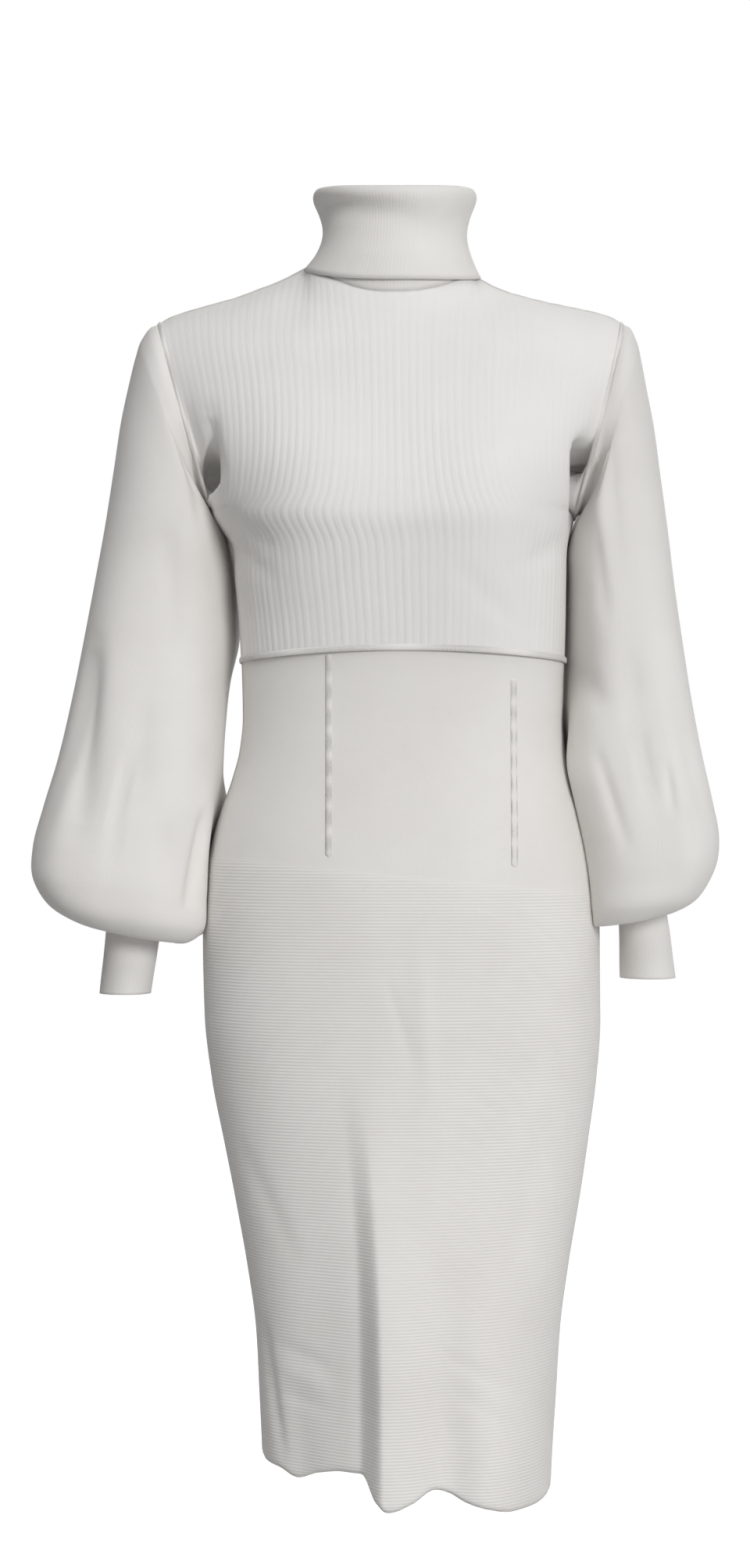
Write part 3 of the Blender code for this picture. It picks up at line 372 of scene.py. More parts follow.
def yarn_material(name, wales, courses, loop_relief, purl=None, painted_light_share=0.0):
    """Soft wool-look yarn. wales and courses count the loops across and along the piece;
    purl gives its raised rows; painted_light_share takes it that share of the way to white:
    painted light."""
    # Painted light: every colour of the yarn is taken the painted_light_share of the way to
    # white.
    def with_painted_light(colour):
        return tuple(part + (1.0 - part) * painted_light_share for part in colour)

    material = bpy.data.materials.new(name)
    material.use_nodes = True
    tree = material.node_tree
    shader = tree.nodes["Principled BSDF"]
    start = Shade(tree)
    across_down = start.node("UVMap", {"uv_map": "loops"})
    split = start.node("SeparateXYZ", (), {0: across_down})
    wale = split * wales
    course = Shade(tree, split.socket.node.outputs[1]) * courses
    beside = start.maths("ABSOLUTE", start.maths("FRACT", wale) - 0.5)
    leg = start.maths("SINE", beside * (2 * math.pi))
    slanted = course + beside * LOOP_SLANT
    loop = start.maths("SINE", slanted * (2 * math.pi)) * 0.5 + 0.5
    stitches = leg * (loop * (1 - LOOP_LOW) + LOOP_LOW)

    place = start.node("TexCoord", (), (), "Object")
    dye = start.node("TexNoise", (), {"Vector": place, "Scale": DYE_SCALE,
                                               "Detail": 3.0, "Roughness": 0.55})
    fibre = start.node("TexNoise", (), {"Vector": place, "Scale": FIBRE_SCALE,
                                                 "Detail": 2.0, "Roughness": 0.6})
    tone = start.node("MapRange", (), {0: dye, 1: 0.3, 2: 0.7, 3: 0.0, 4: 1.0})
    dyed = start.node("Mix", {"data_type": "RGBA"},
                      {0: tone, 6: with_painted_light(IVORY_SHADED), 7: with_painted_light(IVORY_LIT)}, 2)
    lit = (stitches + fibre) * LIT_SHARE + LIT_SHARE
    colour = start.node("Mix", {"data_type": "RGBA"},
                        {0: lit, 6: dyed, 7: with_painted_light(IVORY)}, 2)
    tree.links.new(colour.socket, shader.inputs["Base Color"])
    rough = fibre * FIBRE_ROUGHNESS + (YARN_ROUGHNESS - FIBRE_ROUGHNESS / 2)
    tree.links.new(rough.socket, shader.inputs["Roughness"])

    relief = stitches * loop_relief + fibre * (FIBRE_RELIEF * loop_relief)
    if purl:
        where = start.node("SeparateXYZ", (), {0: place})
        height = Shade(tree, where.socket.node.outputs[2])
        slope = (purl.right_height - purl.left_height) / purl.span
        line = where * slope + ((purl.left_height + purl.right_height) / 2 * MM)
        below = start.node("MapRange", (), {
            0: line - height, 1: 0.0, 2: purl.fade * MM, 3: 0.0, 4: 1.0})
        wave = start.maths("SINE", height * (2 * math.pi / (purl.pitch * MM))) * 0.5 + 0.5
        relief = relief + wave * below * purl.relief
    bump = start.node("Bump", (), {"Strength": 1.0, "Distance": MM,
                                            "Height": relief})
    tree.links.new(bump.socket, shader.inputs["Normal"])
    shader.inputs["Specular IOR Level"].default_value = YARN_SPECULAR
    shader.inputs["Sheen Weight"].default_value = YARN_FUZZ
    shader.inputs["Sheen Roughness"].default_value = FUZZ_ROUGHNESS
    return material


def armhole_point(side, panel, angle):
    """A point of the armhole seam: a leaning ellipse from shoulder tip to underarm."""
    top_x = centre_at(SHOULDER_TIP_HEIGHT) + side * SHOULDER_HALF
    bottom_x = centre_at(UNDERARM_HEIGHT) + side * UNDERARM_HALF
    along, across = math.cos(math.radians(angle)), math.sin(math.radians(angle))
    return np.array([
        (top_x + bottom_x) / 2 + along * (top_x - bottom_x) / 2,
        panel * ARMHOLE_SWING[panel] * across,
        (SHOULDER_TIP_HEIGHT + UNDERARM_HEIGHT) / 2
        + along * (SHOULDER_TIP_HEIGHT - UNDERARM_HEIGHT) / 2,
    ])


def neckline_points(panel, turn):
    """Points of the neckline seam, at turns from the middle in radians, right positive."""
    middle = NECK_MIDDLE_HEIGHT[panel]
    shoulder = NECK_SIDE_HEIGHT - np.where(turn > 0, NECK_RIGHT_DROP, 0.0)
    rise = np.abs(np.sin(turn)) ** NECK_SIDE_RISE
    return np.stack([centre_at(0) + NECK_HALF_WIDTH * np.sin(turn),
                     panel * NECK_HALF_DEPTH * np.cos(turn),
                     middle + (shoulder - middle) * rise], axis=-1)


def top_edge(panel, place):
    """Shoulder seam, neckline and shoulder seam; place runs from -1 to 1."""
    share = RIBS_AT_NECKLINE / RIBS
    reach = np.clip(place / share, -1, 1)
    turn = (np.arcsin(NECKLINE_EVENNESS * reach) / math.asin(NECKLINE_EVENNESS)
            * math.pi / 2)
    neckline = neckline_points(panel, turn)
    along = np.clip((np.abs(place) - share) / (1 - share), 0, 1)
    out = NECK_HALF_WIDTH + (SHOULDER_HALF - NECK_HALF_WIDTH) * along
    height = np.where(place < 0, from_table(SHOULDER_SEAM, "left", out),
                      from_table(SHOULDER_SEAM, "right", out))
    shoulder = np.stack([centre_at(0) + np.sign(place) * out, 0 * out, height], axis=-1)
    return np.where((np.abs(place) <= share)[:, None], neckline, shoulder)


def bodice_row(left_edge, right_edge, middle, sweep, squareness, count):
    """A row of a bodice panel: a bend from one edge over the middle to the other."""
    last = math.radians(sweep)
    edge_drop = math.cos(last) ** squareness if sweep < 90 else 0.0
    place = np.linspace(-1.0, 1.0, 801)
    edge = np.where(place[:, None] < 0, left_edge, right_edge)
    turn = np.abs(place) * last
    out = (np.sin(turn) / math.sin(last)) ** squareness
    lift = (np.maximum(np.cos(turn), 0.0) ** squareness - edge_drop) / (1 - edge_drop)
    return spread_evenly(np.stack([
        middle[0] + (edge[:, 0] - middle[0]) * out,
        edge[:, 1] + (middle[1] - edge[:, 1]) * lift,
        middle[2] + (edge[:, 2] - middle[2]) * out ** 2,
    ], axis=-1), count)


def bodice_surface(panel, rows_wanted):
    """The plain surface of a bodice panel, without ribs, and its edge angles."""
    count = RIBS * len(RIB_SECTION) + 1
    place = np.linspace(-1.0, 1.0, count)
    lower = []
    for row in ARM_ROWS[panel]:
        middle = (centre_at(row.height), panel * row.depth, row.height)
        lower.append(bodice_row(armhole_point(LEFT, panel, row.arm_angle),
                                armhole_point(RIGHT, panel, row.arm_angle),
                                middle, row.sweep, row.squareness, count))
    for row in SIDE_ROWS[panel]:
        middle = (centre_at(row.height), panel * row.depth, row.height)
        edges = [np.array([centre_at(row.side_height) + side * row.half_width, 0.0,
                           row.side_height]) for side in (LEFT, RIGHT)]
        lower.append(bodice_row(*edges, middle, 90, row.squareness, count))
    top = top_edge(panel, place)
    swell = SHOULDER_ROUND * ease((np.abs(place) - SWELL_START) / (SWELL_FULL - SWELL_START))
    lean = np.stack([SWELL_ACROSS * place, 0 * place + panel * SWELL_OUT,
                     0 * place + SWELL_UP], axis=-1)
    second = (top + lower[0]) / 2 + swell[:, None] * lean
    second[0] = armhole_point(LEFT, panel, FIRST_ROW_ANGLE)
    second[-1] = armhole_point(RIGHT, panel, FIRST_ROW_ANGLE)
    grid, row_place = soft_rows([top, second] + lower, rows_wanted)
    for row in range(1, NECK_SOFT_ROWS):
        for _ in range(NECK_SOFTENING * min(row, NECK_SOFT_ROWS - row)):
            grid[row, 1:-1] = (grid[row, :-2] + 2 * grid[row, 1:-1] + grid[row, 2:]) / 4
    if panel == FRONT:
        fade = ease((1 - np.abs(place)) / BUST_FADE)
        at_edge = ease((1 - np.abs(place)) / EDGE_FADE)
        bust_tall = np.where(grid[..., 2] > BUST_HEIGHT, BUST_TALL_ABOVE, BUST_TALL_BELOW)
        for reach in (-BUST_REACH, BUST_REACH):
            grid[..., 1] -= (BUST_FULLNESS * fade * hump(grid[..., 0] - reach, BUST_WIDTH)
                             * hump(grid[..., 2] - BUST_HEIGHT, bust_tall))
        beside = hump(np.abs(place) - ARMHOLE_CREASE_PLACE, ARMHOLE_CREASE_WIDTH)
        level = hump(grid[..., 2] - ARMHOLE_CREASE_HEIGHT, ARMHOLE_CREASE_TALL)
        grid[..., 1] += ARMHOLE_CREASE_DEPTH * beside * level * at_edge
        grid[..., 1] += (PIT_DEPTH * hump(grid[..., 0] - PIT_REACH, PIT_WIDTH)
                         * hump(grid[..., 2] - PIT_HEIGHT, PIT_TALL) * at_edge)
    grid[..., 1] += panel * SEAM_GAP / 2
    arm_angles = [0, FIRST_ROW_ANGLE] + [row.arm_angle for row in ARM_ROWS[panel]]
    return grid, np.interp(row_place, np.arange(len(arm_angles)), arm_angles), row_place


RIB_PAINTED_LIGHT = 0.24           # painted light: the bodice's yarn is taken this share towards white, so the bodice reads as more brightly lit
BODICE_LENGTH, BODICE_RELIEF = 350, 0.10
CREASE_HOLD = 0.02         # share of the panel in which creases fade towards its sides
RIB_TO_RIB, RIB_TO_RIB_STEP = 0.28, 2.4            # unevenness from one rib to the next
RIB_DRIFT, RIB_DRIFT_ACROSS, RIB_DRIFT_DOWN = 0.22, 0.05, 0.037
RIB_GROWTH_ROWS, RIB_START_ROWS = 6, 0.35
SIDE_FADE_START, SIDE_FADE_RUN = 0.55, 0.4
# The bodice gets painted light: its yarn is coloured whiter than the skirt and sleeves, standing
# in for brighter light on the bust.
bodice_knit = yarn_material("rib knit, bodice", RIBS * WALES_PER_RIB, BODICE_LENGTH / COURSE,
                            BODICE_RELIEF, painted_light_share=RIB_PAINTED_LIGHT)
bodice_edges = {}
BODICE_ROWS = {FRONT: 108, BACK: 84}
for panel, word in ((FRONT, "front"), (BACK, "back")):
    surface, edge_angles, row_place = bodice_surface(panel, BODICE_ROWS[panel])
    normals = outward_normals(surface, False, np.array([0.0, panel, 0.0]))
    across = np.linspace(-1, 1, surface.shape[1])
    held = ease((1 - np.abs(across)) / CREASE_HOLD) * ease(row_place[:, None])
    surface = creased(surface, normals, BODICE_CREASES[panel], panel, held)
    normals = outward_normals(surface, False, np.array([0.0, panel, 0.0]))
    section = np.array(RIB_SECTION)[np.arange(surface.shape[1]) % len(RIB_SECTION)]
    rib_number = np.arange(surface.shape[1]) // len(RIB_SECTION)
    uneven = (1 + RIB_TO_RIB * np.sin(rib_number * RIB_TO_RIB_STEP + panel)
              + RIB_DRIFT * np.sin(surface[..., 0] * RIB_DRIFT_ACROSS
                                   + surface[..., 2] * RIB_DRIFT_DOWN + panel))
    growth = ease(row_place[:, None] / RIB_GROWTH_ROWS)
    tall = ((RIB_HEIGHT_TOP + (RIB_HEIGHT_WAIST - RIB_HEIGHT_TOP) * growth)
            * (1 - RIB_FADE_AT_SIDES * ease((np.abs(across) - SIDE_FADE_START)
                                            / SIDE_FADE_RUN)))
    raised = tall * section * uneven * ease(row_place[:, None] / RIB_START_ROWS)
    ribbed = surface + raised[..., None] * normals
    knitted(
        "knit_bodice_" + word, ribbed, False,
        lambda at, panel=panel: np.array([0.0, panel, 0.0]),
        bodice_knit, ["bodice_" + word])
    bodice_edges[panel] = (surface, normals, edge_angles)

# ==================================================================== turtleneck collar
# One tube of fine rib, knitted twice as tall as the neck: it stands up from the neckline seam,
# rolls outwards at the top and falls back over itself to just below the seam.
Station = namedtuple("Station", "half_width half_depth height front_drop back_rise bend")
COLLAR_SECTION = rows_of(
    Station,
    (74.2, 63.4, 17.0, 17.6, 3.0, 1.2), (65.4, 62.0, 29.0, 12.0, 5.0, 2),
    (59.6, 57.0, 48.5, 8.0, 5.0, 2), (64.0, 61.4, 65.0, 7.0, 5.5, 2),
    (68.6, 64.2, 75.5, 6.5, 5.5, 2), (67.4, 62.8, 81.5, 6.2, 5.8, 2),
    (63.6, 59.2, 84.0, 6.0, 6.0, 2), (59.8, 55.8, 79.0, 6.0, 6.0, 2),
    (54.6, 51.6, 49.0, 8.0, 5.0, 2), (61.0, 57.4, 29.0, 20.0, 5.0, 2),
)
COLLAR_LEAN, COLLAR_LEAN_HEIGHT, COLLAR_LEVEL_HEIGHT = 3.5, 30.0, 69.0
COLLAR_RIBS = 150
COLUMNS_PER_FINE_RIB = 4
FINE_RIB_HEIGHT = 0.14
COLLAR_FALL_ROWS = 0.5     # share of the rows that lie on the outside
COLLAR_CREASES = rows_of(
    Crease,
    (-74, 70, -54, 58, 22, 52, 9, 10, 6.5),
    (66, 62, 56, 54, 36, 50, 5, 7, 1.6),
)
COLLAR_ROWS, COLLAR_SOFTENING = 42, 2
COLLAR_THICKNESS = 1.8
COLLAR_LENGTH, FINE_RIB_RELIEF = 140, 0.06
FALL_FADE = 0.12           # share of the rows in which creases fade towards the roll
FOLD_SHIFT, FOLD_HALF_WIDTH, FOLD_HALF_DEPTH = 2, 64.0, 59.5


def fine_ribs(columns):
    """How far each column of a fine rib stands up, from 0 to 1."""
    return np.sin(np.arange(columns) % COLUMNS_PER_FINE_RIB * math.pi / COLUMNS_PER_FINE_RIB)


def collar_ring(station, turn):
    """A ring of the collar; the turn is from the back middle, towards the right."""
    turn_x, turn_y = np.sin(turn), np.cos(turn)
    below = (COLLAR_LEVEL_HEIGHT - station.height) / (COLLAR_LEVEL_HEIGHT - NECK_SIDE_HEIGHT)
    height = station.height + np.where(
        turn_y < 0, -station.front_drop * abs(turn_y) ** station.bend,
        station.back_rise * turn_y ** 2)
    height = height - (NECK_RIGHT_DROP * min(max(below, 0.0), 1.0)
                       * np.maximum(turn_x, 0.0) ** NECK_SIDE_RISE)
    lean = centre_at(0) + COLLAR_LEAN * ease(height / COLLAR_LEAN_HEIGHT)
    return np.stack([lean + station.half_width * turn_x, station.half_depth * turn_y, height],
                    axis=-1)


turn = np.linspace(0, 2 * math.pi, COLLAR_RIBS * COLUMNS_PER_FINE_RIB, endpoint=False)
rings = [collar_ring(station, turn) for station in COLLAR_SECTION]
half_turn = (turn + math.pi) % (2 * math.pi) - math.pi
front_turn = np.arctan2(np.sin(turn), -np.cos(turn))
seam = np.where((np.cos(turn) < 0)[:, None], neckline_points(FRONT, front_turn),
                neckline_points(BACK, half_turn))
to_neck = unit((np.array([centre_at(0), 0.0, 0.0]) - seam) * np.array([1.0, 1.0, 0.0]))
rings.append(seam + CLOTH * to_neck + np.array([0.0, 0.0, SEAM_GAP]))
collar, _ = soft_rows(rings, COLLAR_ROWS)
for _ in range(COLLAR_SOFTENING):
    collar[1:-1] = (collar[:-2] + 2 * collar[1:-1] + collar[2:]) / 4
normals = outward_normals(collar, True, unit(collar - collar.mean(axis=1, keepdims=True))
                          * np.linspace(1, -1, COLLAR_ROWS)[:, None, None])
outside = ease((COLLAR_FALL_ROWS - np.linspace(0, 1, COLLAR_ROWS)) / FALL_FADE)[:, None]
collar = creased(collar, normals, COLLAR_CREASES, FRONT, outside)
collar = collar + (FINE_RIB_HEIGHT * fine_ribs(len(turn)))[None, :, None] * normals
collar_knit = yarn_material("fine rib, collar", COLLAR_RIBS * 2, COLLAR_LENGTH / COURSE,
                            FINE_RIB_RELIEF)


def fold_outside(at):
    """Outwards from the middle of the fold between the collar's stand and its fall."""
    flat = at[:, :2] - np.array([centre_at(0) + FOLD_SHIFT, 0.0])
    size = np.linalg.norm(flat / np.array([FOLD_HALF_WIDTH, FOLD_HALF_DEPTH]), axis=1,
                          keepdims=True)
    return np.hstack([flat * np.sign(size - 1.0), 0 * size])


collar_piece = knitted("knit_collar", collar, True, fold_outside, collar_knit,
                       ["collar"], thickness=COLLAR_THICKNESS)

# ==================================================================== skirt
# Waist and pencil skirt are one panel in front and one behind: plain jersey over the waist,
# then a close horizontal purl texture that hangs in folds to an uneven hem.
SkirtRing = namedtuple("SkirtRing", "height half_width front back")
SKIRT_RINGS = rows_of(
    SkirtRing,
    (-1000, 119, 86.5, 85.5), (-970, 120, 87, 86),
    (-915, 123, 88, 87), (-863, 126, 89.5, 88.5),
    (-811, 133, 91.5, 91), (-759, 142, 94.5, 95),
    (-707, 151, 98, 101), (-655, 159.5, 102, 109),
    (-603, 164, 105, 117), (-540, 164.5, 106, 121),
    (-486, 161.5, 105, 116), (-460, 157, 103.5, 110),
    (-434, 150, 101, 102), (-408, 141, 98, 93),
    (-382, 134.8, 95.5, 84), (-356, 132.6, 94.5, 78),
    (-330, 133, 95.5, 75.5), (-300, 134, 98, 76),
)
SKIRT_SQUARENESS = 0.87
HEM_BACK_HEIGHT, HEM_BACK_WAVE, HEM_BACK_WAVES = -984.0, 1.5, 3
HemPoint = namedtuple("HemPoint", "reach height")
FRONT_HEM = rows_of(
    HemPoint,
    (-112, -968), (-98, -969), (-82, -975), (-64, -968),
    (-44, -964), (-30, -964), (-19, -983), (-7, -990),
    (12, -984), (30, -975), (40, -978), (54, -986),
    (74, -992), (94, -996), (112, -996), (130, -994),
)
Fold = namedtuple("Fold", "reach_top height_top reach_hem left_half right_half depth")
SKIRT_FOLDS = rows_of(
    Fold,
    (34, -740, 40, 13, 15, 11.0), (66, -700, 84, 30, 30, -19.0),
    (-88, -820, -76, 10, 10, 4.0),
)
SkirtLap = namedtuple(
    "SkirtLap", "reach_top height_top reach_hem wall step slope_run slope crest_run")
SKIRT_LAP = SkirtLap(-44, -620, -21, 19, 22.0, 22, 14.0, 55)   # a step and its crest
LAP_BEND, LAP_GROWTH = 3, 0.75
FOLD_SIDE_FADE = 0.6       # folds fade towards the side seams
SKIRT_CREASES = {
    FRONT: rows_of(
        Crease,
        (18, -540, 20, -600, 26, -665, 9, 9, -1.6),
        (-9, -566, 2, -600, 14, -640, 4, 5, 0.9),
        (-102, -866, -76, -872, -52, -884, 6, 6, 1.2),
        (-98, -886, -72, -892, -54, -900, 6, 7, -1.0),
        (-98, -906, -76, -910, -56, -916, 5, 6, 1.0),
        (-109, -850, -103, -906, -92, -962, 4, 5, 2.6),
        (38, -868, 64, -880, 96, -902, 7, 7, 1.2),
        (40, -892, 66, -908, 92, -930, 7, 7, 0.9),
        (-130, -700, -110, -740, -80, -800, 7, 8, 1.4),
        (120, -680, 108, -740, 92, -800, 7, 9, 1.6),
    ),
    BACK: rows_of(
        Crease,
        (-60, -330, 0, -344, 58, -336, 7, 8, 2.2),
        (-76, -366, -20, -380, 40, -374, 8, 9, 2.0),
        (10, -700, 18, -820, 24, -930, 12, 14, 5.0),
        (-62, -740, -54, -850, -50, -940, 12, 14, -4.0),
        (84, -720, 78, -830, 72, -930, 12, 12, 4.0),
        (-104, -800, -98, -870, -94, -940, 8, 8, 3.0),
        (-70, -866, -30, -874, 6, -890, 6, 6, 2.0),
        (40, -860, 70, -872, 98, -886, 6, 6, 2.0),
    ),
}
PURL = PurlRows(2.6, 0.20, -471.0, -496.0, 260.0, 4.0)
JERSEY_STEP, JERSEY_STEP_RUN = 0.5, 6
JERSEY_WALES, JERSEY_RELIEF = 300, 0.07
SKIRT_LENGTH = 680
SIDE_HOLD, TOP_HOLD = 0.06, 0.03
HEM_ROLL, HEM_ROLL_HEIGHT = 1.4, 4.0


def waist_height(panel, out):
    middle = WAIST_HEIGHT[panel]
    return middle + (WAIST_SIDE_HEIGHT - middle) * out ** 2


def hem_height(panel, reach, place):
    if panel == FRONT:
        return from_table(FRONT_HEM, "height", reach)
    left, right = FRONT_HEM[0].height, FRONT_HEM[-1].height
    sag = (HEM_BACK_HEIGHT - (left + right) / 2) * (1 - place ** 2)
    wave = HEM_BACK_WAVE * np.sin(HEM_BACK_WAVES * math.pi * place)
    return left + (right - left) * (place + 1) / 2 + sag + wave * (1 - place ** 2)


def skirt_surface(panel, rows, columns):
    """The surface of a skirt panel, from the waist seam to the hem."""
    place = np.linspace(-1.0, 1.0, 601)[None]
    down = np.linspace(0.0, 1.0, rows)[:, None]
    turn = place * math.pi / 2
    out = np.sign(place) * np.abs(np.sin(turn)) ** SKIRT_SQUARENESS
    swell = np.maximum(np.cos(turn), 0.0) ** SKIRT_SQUARENESS
    height = waist_height(panel, out) + 0 * down
    for _ in range(2):
        point_x = centre_at(height) + out * from_table(SKIRT_RINGS, "half_width", height)
        height = (waist_height(panel, out) * (1 - down)
                  + hem_height(panel, point_x, place) * down)
    point_x = centre_at(height) + out * from_table(SKIRT_RINGS, "half_width", height)
    point_y = panel * swell * from_table(SKIRT_RINGS, "front" if panel == FRONT else "back",
                                         height)
    if panel == FRONT:
        for fold in SKIRT_FOLDS:
            run = np.clip((height - fold.height_top) / (HEM_BACK_HEIGHT - fold.height_top), 0, 1)
            reach = fold.reach_top + (fold.reach_hem - fold.reach_top) * run
            half_width = np.where(point_x < reach, fold.left_half, fold.right_half)
            point_y = point_y + (fold.depth * ease(run) * hump(point_x - reach, half_width)
                                 * ease(swell / FOLD_SIDE_FADE))
        lap = SKIRT_LAP
        run = np.clip((height - lap.height_top) / (HEM_BACK_HEIGHT - lap.height_top), 0, 1)
        beyond = (point_x - lap.reach_hem
                  - (lap.reach_top - lap.reach_hem) * (1 - run) ** LAP_BEND)
        advance = (lap.step * ease(beyond / lap.wall + 0.5)
                   + lap.slope * hump(np.minimum(beyond, 0), lap.slope_run))
        point_y = point_y - (advance * hump(np.maximum(beyond, 0), lap.crest_run)
                             * ease(run / LAP_GROWTH) * ease(swell / FOLD_SIDE_FADE))
    whole = np.stack([point_x, point_y, height], axis=-1)
    return np.array([spread_evenly(row, columns) for row in whole])


skirt_knit = yarn_material("jersey and purl, skirt", JERSEY_WALES, SKIRT_LENGTH / COURSE,
                           JERSEY_RELIEF, PURL)
SKIRT_GRID = {FRONT: (200, 201), BACK: (130, 161)}
skirt_surfaces = {}
for panel, word in ((FRONT, "front"), (BACK, "back")):
    surface = skirt_surface(panel, *SKIRT_GRID[panel])
    surface[..., 1] += panel * SEAM_GAP / 2
    surface[0, :, 2] -= SEAM_GAP
    outward = np.array([0.0, panel, 0.0])
    normals = outward_normals(surface, False, outward)
    across = np.linspace(-1, 1, surface.shape[1])
    down = np.linspace(0, 1, surface.shape[0])[:, None]
    held = ease((1 - np.abs(across)) / SIDE_HOLD) * ease(down / TOP_HOLD)
    surface = creased(surface, normals, SKIRT_CREASES[panel], panel, held)
    line = ((PURL.left_height + PURL.right_height) / 2
            + (PURL.right_height - PURL.left_height) / PURL.span * surface[..., 0])
    step = JERSEY_STEP * (ease((line - surface[..., 2]) / JERSEY_STEP_RUN) - 1) * held
    surface = surface + step[..., None] * outward_normals(surface, False, outward)
    above_hem = np.linalg.norm(surface - surface[-1:], axis=2)
    roll = HEM_ROLL * np.maximum(1 - above_hem / HEM_ROLL_HEIGHT, 0) ** 2
    surface = surface - roll[..., None] * outward_normals(surface, False, outward)
    skirt_surfaces[panel] = surface
    knitted(
        "knit_skirt_" + word, surface, False,
        lambda at, panel=panel: np.array([0.0, panel, 0.0]),
        skirt_knit, ["skirt_" + word])

# ==================================================================== sleeves
# Lantern sleeves of the same plain knit: set into the armholes, full below the elbow, and
# gathered under into the seam with the cuff.
# The tuck is how far back the ring's body side lies, behind the side of the body.
SleeveRing = namedtuple("SleeveRing", "out_x out_z in_x in_z front back tuck")
SLEEVE_RINGS = {
    LEFT: rows_of(
        SleeveRing,
        (-203.0, -31, -156.5, -186.5, 55, 57, 3),
        (-211.0, -41, -157.5, -189.5, 57, 58, 12),
        (-216.5, -56, -149.5, -197, 59, 58, 34),
        (-222.0, -78, -140.8, -207, 60, 58, 46),
        (-228.3, -107, -136.8, -221, 60, 58, 48),
        (-235.2, -152, -133.8, -241, 60, 60, 46),
        (-242.2, -197, -132.0, -264, 59, 61, 47),
        (-250.2, -242, -132.8, -292, 60, 60, 40),
        (-259.0, -290, -139.5, -326, 62, 60, 22),
        (-268.8, -340, -143.0, -364, 65, 62, 10),
        (-280.5, -390, -145.0, -400, 69, 64, 10),
        (-292.5, -430, -149.5, -434, 73, 66, 14),
        (-301.0, -463, -157.0, -468, 76, 68, 10),
        (-300.0, -491, -161.5, -505, 78, 70, 6),
        (-285.0, -513, -165.5, -533, 73, 66, 4),
        (-261.0, -526, -183.0, -543, 56, 52, 0),
    ),
    RIGHT: rows_of(
        SleeveRing,
        (192.5, -31, 152.0, -186.5, 55, 57, 3),
        (198.5, -42, 153.0, -189.5, 57, 59, 12),
        (203.0, -60, 148.0, -197, 59, 60, 28),
        (207.0, -81, 142.6, -208, 60, 61, 36),
        (213.0, -112, 140.2, -222, 60, 63, 42),
        (219.0, -156, 141.0, -242, 60, 65, 46),
        (225.0, -201, 140.8, -266, 60, 68, 47),
        (230.2, -246, 140.5, -294, 61, 70, 48),
        (236.6, -293, 139.8, -328, 63, 73, 46),
        (243.8, -341, 140.0, -363, 67, 76, 30),
        (252.4, -387, 147.4, -398, 72, 80, 16),
        (260.8, -425, 157.2, -430, 76, 82, 10),
        (266.0, -454, 164.6, -460, 78, 84, 8),
        (262.4, -481, 170.2, -493, 77, 83, 6),
        (248.0, -505, 172.6, -516, 73, 78, 3),
        (232.0, -515, 173.2, -528.5, 56, 57, 0),
    ),
}
SLEEVE_SQUARENESS, SLEEVE_FLATTENING = 0.92, 0.24  # the lower arm is the flatter
FLATTENING_TOP, FLATTENING_RUN = -150, 200
BODY_SIDE_SQUARENESS = {LEFT: 0.76, RIGHT: 0.54}
BODY_SIDE_TOP, BODY_SIDE_RUN = -30, 100    # it eases in from the armhole
HIP_LAP, HIP_LAP_START, HIP_LAP_RUN = 16.0, 8.0, 36.0   # the sleeves lap over the hips
HIP_LAP_TOP, HIP_LAP_GROWTH = {LEFT: -385.0, RIGHT: -300.0}, 70
TUCK_START = 3.0           # how late, round the ring, the tuck sets in
SleeveFold = namedtuple("SleeveFold", "angle height half_angle half_height depth")
SLEEVE_FOLDS = {
    LEFT: rows_of(
        SleeveFold,
        (38, -380, 11, 60, 3.0), (72, -430, 12, 40, 4.0),
        (140, -470, 14, 45, 4.0), (100, -250, 18, 60, 2.5),
        (-70, -440, 14, 50, 3.5), (-130, -400, 14, 60, 3.0),
    ),
    RIGHT: rows_of(
        SleeveFold,
        (52, -400, 12, 45, 3.5), (95, -400, 13, 60, 3.5),
        (130, -330, 14, 60, 3.0), (120, -180, 14, 45, 3.0),
        (-60, -430, 14, 50, 3.5), (-120, -380, 14, 60, 3.0),
    ),
}
